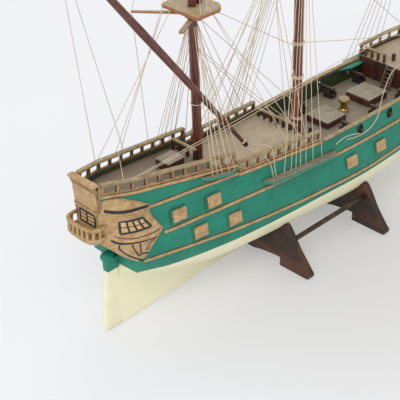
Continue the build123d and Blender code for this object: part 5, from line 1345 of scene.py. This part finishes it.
def extra_lines():
    """Halyards and braces set up to the side rails and the deck, as start, end and slack."""
    lines = []
    for side in (-1, 1):
        for i, (foot_x, head_z) in enumerate(HALYARDS):
            if side > 0 or foot_x >= 0.0:
                head = Vector((25.0 + 0.6 * i, side * 6.4, head_z))
                lines.append((rail_foot(foot_x, side), head, random.uniform(0.5, 2.5)))
        for foot_x, head_z in BRACES:
            head = Vector((-86.0, side * 5.6, head_z))
            lines.append((rail_foot(foot_x, side), head, random.uniform(0.3, 1.5)))
        foot = Vector((QD_BREAK_X - 2.2, side * 12.0, quarterdeck_z(QD_BREAK_X) + 5.6))
        lines.append((foot, Vector((-80.0, side * 5.0, 286.0)), 2.0))
    return lines


def make_rigging():
    """Slack threads along the shrouds, stays and running lines."""
    for node, name, slack in THREAD_SETS:
        shape = Shape()
        for group in islands(node):
            start, end = ends_of(group)
            level = math.hypot(end.x - start.x, end.y - start.y)
            make_line(shape, start, end, level * slack * random.uniform(0.3, 1.6))
        if node == "running_lines":
            for line in extra_lines():
                make_line(shape, *line)
        shape.finish(name, [THREAD], slot="thread", replaces=[node], sharp=80.0)


make_rigging()
make_balcony()
make_rudder()


def make_wraps():
    """Bands of thread wound round the masts."""
    shape = Shape()
    for group in islands("mast_woldings"):
        centre = sum(group, Vector()) / len(group)
        low = min(p.z for p in group)
        high = max(p.z for p in group)
        radius = (max(p.y for p in group) - min(p.y for p in group)) / 2
        mizzen = centre.x < POOP_END_X
        turns = 1 if mizzen else max(3, round((high - low) / 0.95))
        for turn in range(turns):
            z = low + (high - low) * (turn + 0.5) / turns
            ring = []
            for k in range(25):
                angle = 2 * math.pi * k / 24
                reach = radius - 0.35 + 0.12 * math.sin(3 * angle + turn)
                ring.append(Vector((centre.x + reach * math.cos(angle), centre.y + reach * math.sin(angle),
                                    z + 0.2 * math.sin(angle + turn))))
            shape.loops(tube_rings(ring, 0.5))
    shape.finish("mast_wraps", [THREAD], slot="thread", replaces=["mast_woldings"], sharp=80.0)


make_wraps()


def make_gusset():
    """Green corner plate under the port cap at the forward end of the waist."""
    shape = Shape()
    plan = [(222.0, 49.0), (264.5, 49.0), (264.5, 42.0), (256.0, 41.4), (240.0, 42.4)]
    shape.loops([[(x, y, z) for x, y in plan] for z in (137.6, 139.2)])
    shape.finish("waist_gusset", [GREEN], slot="green_paint", sharp=40.0)


make_gusset()


def make_lashings():
    """Dark tip and tan lashings on the lateen yard's lower end."""
    group = islands("lateen_yard")[0]
    start, end = ends_of(group)
    low, high = (start, end) if start.z < end.z else (end, start)
    along = (high - low).normalized()
    tip = min(group, key=lambda p: (p - low).dot(along))
    foot = low + along * (tip - low).dot(along)
    shape = Shape()
    ring_side = along.cross(Vector((0, 0, 1))).normalized()
    other = along.cross(ring_side)
    turns = [2 * math.pi * k / 20 for k in range(21)]
    for turn in range(3):
        centre = foot + along * (7.5 + 1.0 * turn)
        path = [centre + (ring_side * math.cos(a) + other * math.sin(a)) * 2.9 for a in turns]
        shape.loops(tube_rings(path, 0.5))
    shape.finish("yard_lashing", [THREAD], slot="thread", sharp=80.0)
    shape = Shape()
    shape.loops(tube_rings([foot + along * d for d in (0.05, 0.6, 5.4, 6.0)], 2.9, 14))
    shape.finish("yard_end", [CARRIAGE], slot="dark_red_wood", sharp=60.0)


make_lashings()


# ---------------------------------------------------------------- loose cords
CORDS = {
    "yard_tip_cord": ([
        (-26.5, -21.6, 158.5), (-22.5, -28.5, 162.8), (-18.0, -37.5, 164.3), (-15.0, -46.8, 163.0),
        (-14.6, -50.2, 155.5), (-15.8, -52.2, 147.0), (-16.5, -54.2, 138.0), (-15.5, -55.6, 129.4),
    ], 0.0633, "object"),
    "yard_tip_cord_short": ([
        (-27.4, -23.0, 156.6), (-24.5, -31.0, 155.6), (-23.0, -40.5, 153.6), (-22.2, -49.5, 150.6),
        (-21.0, -53.0, 143.0), (-19.4, -55.0, 129.7),
    ], 0.0494, "object"),
    "waist_loose_cord": ([
        (265.5, -19.5, 160.5), (250.0, -21.0, 160.6), (234.0, -24.0, 158.8), (220.4, -29.0, 153.8),
        (207.8, -34.0, 148.8), (196.0, -40.0, 145.6), (183.5, -47.5, 144.8), (171.0, -55.2, 144.8),
        (161.5, -61.0, 140.6), (150.5, -62.6, 132.5), (138.5, -62.6, 128.4), (124.0, -61.2, 126.8),
        (112.0, -60.2, 127.8), (103.0, -59.9, 130.4),
    ], 0.1784, "bare"),
    "port_hole_cord": ([
        (129.1, -54.6, 125.9), (129.0, -59.8, 127.4), (125.2, -62.4, 130.2), (119.4, -61.8, 132.2),
        (110.0, -60.2, 133.6), (101.0, -59.6, 134.2), (92.0, -59.2, 133.6), (84.5, -59.0, 130.6),
    ], 0.0521, "bare"),
}
CORD_D = 1.0


def make_cord(node, points, length, far_end):
    """A loose thread end as one smooth curve along its resting route."""
    data = bpy.data.curves.new(node + "_thread", "CURVE")
    data.dimensions = "3D"
    data.bevel_depth = CORD_D / 2 * MM
    data.bevel_resolution = 3
    data.resolution_u = 12
    data.use_fill_caps = True
    spline = data.splines.new("NURBS")
    spline.points.add(len(points) - 1)
    for mark, (x, y, z) in zip(spline.points, points):
        mark.co = ((x - MID_X) * MM, y * MM, z * MM, 1.0)
    spline.order_u = 3
    spline.use_endpoint_u = True
    data.materials.append(THREAD)
    piece = bpy.data.objects.new(node + "_thread", data)
    bpy.context.scene.collection.objects.link(piece)
    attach(piece, "ship")
    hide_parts(node)
    x, y, z = points[0]


for cord_node, (cord_points, cord_length, cord_end) in CORDS.items():
    make_cord(cord_node, cord_points, cord_length, cord_end)


# ---------------------------------------------------------------- floor and light
# Painted shadow on the floor round the stand, in metres: middle, width along x, and where it starts and is
# full.
PAINTED_SHADOW_X = 0.03
PAINTED_SHADOW_Y = -0.13
PAINTED_SHADOW_SQUASH = 0.8
PAINTED_SHADOW_EDGE = 0.50
PAINTED_SHADOW_HEART = 0.02
SHADOW_LIFT = 0.42


def floor_paper():
    """Pale floor with a painted shadow round the stand, whose shadows are softened where it is seen."""
    f = Finish("floor_paper", 0.9)
    x, y, _ = f.axes()
    along = f.math("MULTIPLY", f.math("SUBTRACT", x, PAINTED_SHADOW_X), PAINTED_SHADOW_SQUASH)
    across = f.math("SUBTRACT", y, PAINTED_SHADOW_Y)
    away = f.math("SQRT", f.math("ADD", f.math("MULTIPLY", along, along), f.math("MULTIPLY", across, across)))
    spot = f.node("ShaderNodeMapRange", clamp=True, interpolation_type="SMOOTHERSTEP")
    f.feed(spot.inputs["Value"], away)
    spot.inputs["From Min"].default_value = PAINTED_SHADOW_EDGE
    spot.inputs["From Max"].default_value = PAINTED_SHADOW_HEART
    plain = f.mix(f.span(f.noise(400.0, 2.0), 0.3, 0.7), (243, 244, 248), (241, 242, 246))
    # Paper darkened towards the stand: a painted shadow.
    paper_with_painted_shadow = f.mix(spot.outputs["Result"], plain, (223, 222, 221))
    f.colour(paper_with_painted_shadow)
    rays = f.node("ShaderNodeLightPath").outputs
    mirrored = f.math("MAXIMUM", rays["Is Glossy Ray"], rays["Is Transmission Ray"])
    seen = f.math("MAXIMUM", rays["Is Camera Ray"], mirrored)
    glow = f.node("ShaderNodeEmission")
    f.feed(glow.inputs["Color"], paper_with_painted_shadow)
    blend = f.node("ShaderNodeMixShader")
    f.feed(blend.inputs[0], f.math("MULTIPLY", seen, SHADOW_LIFT))
    f.feed(blend.inputs[1], f.shader.outputs[0])
    f.feed(blend.inputs[2], glow.outputs[0])
    f.feed(f.tree.nodes["Material Output"].inputs["Surface"], blend.outputs[0])
    return f.material


def make_stage():
    """Pale floor with a painted shadow round the stand, under soft light."""
    mesh = bpy.data.meshes.new("floor")
    mesh.from_pydata([(-6, -6, 0), (6, -6, 0), (6, 6, 0), (-6, 6, 0)], [], [(0, 1, 2, 3)])
    floor = bpy.data.objects.new("floor", mesh)
    bpy.context.scene.collection.objects.link(floor)
    mesh.materials.append(floor_paper())

    world = bpy.data.worlds.new("studio")
    world.use_nodes = True
    world.node_tree.nodes["Background"].inputs["Color"].default_value = (1.0, 1.0, 1.0, 1.0)
    world.node_tree.nodes["Background"].inputs["Strength"].default_value = 0.70
    bpy.context.scene.world = world

    def lamp(name, place, target, size, power):
        data = bpy.data.lights.new(name, "AREA")
        data.shape = "SQUARE"
        data.size = size
        data.energy = power
        piece = bpy.data.objects.new(name, data)
        piece.location = place
        direction = Vector(target) - Vector(place)
        piece.rotation_euler = direction.to_track_quat("-Z", "Y").to_euler()
        bpy.context.scene.collection.objects.link(piece)

    lamp("key", (-2.1, -1.1, 2.5), (0.0, 0.0, 0.1), 1.6, 40.0)
    lamp("fill", (1.8, 1.2, 2.4), (0.0, 0.0, 0.1), 2.2, 16.0)


make_stage()
bpy.context.scene.view_settings.view_transform = "Standard"
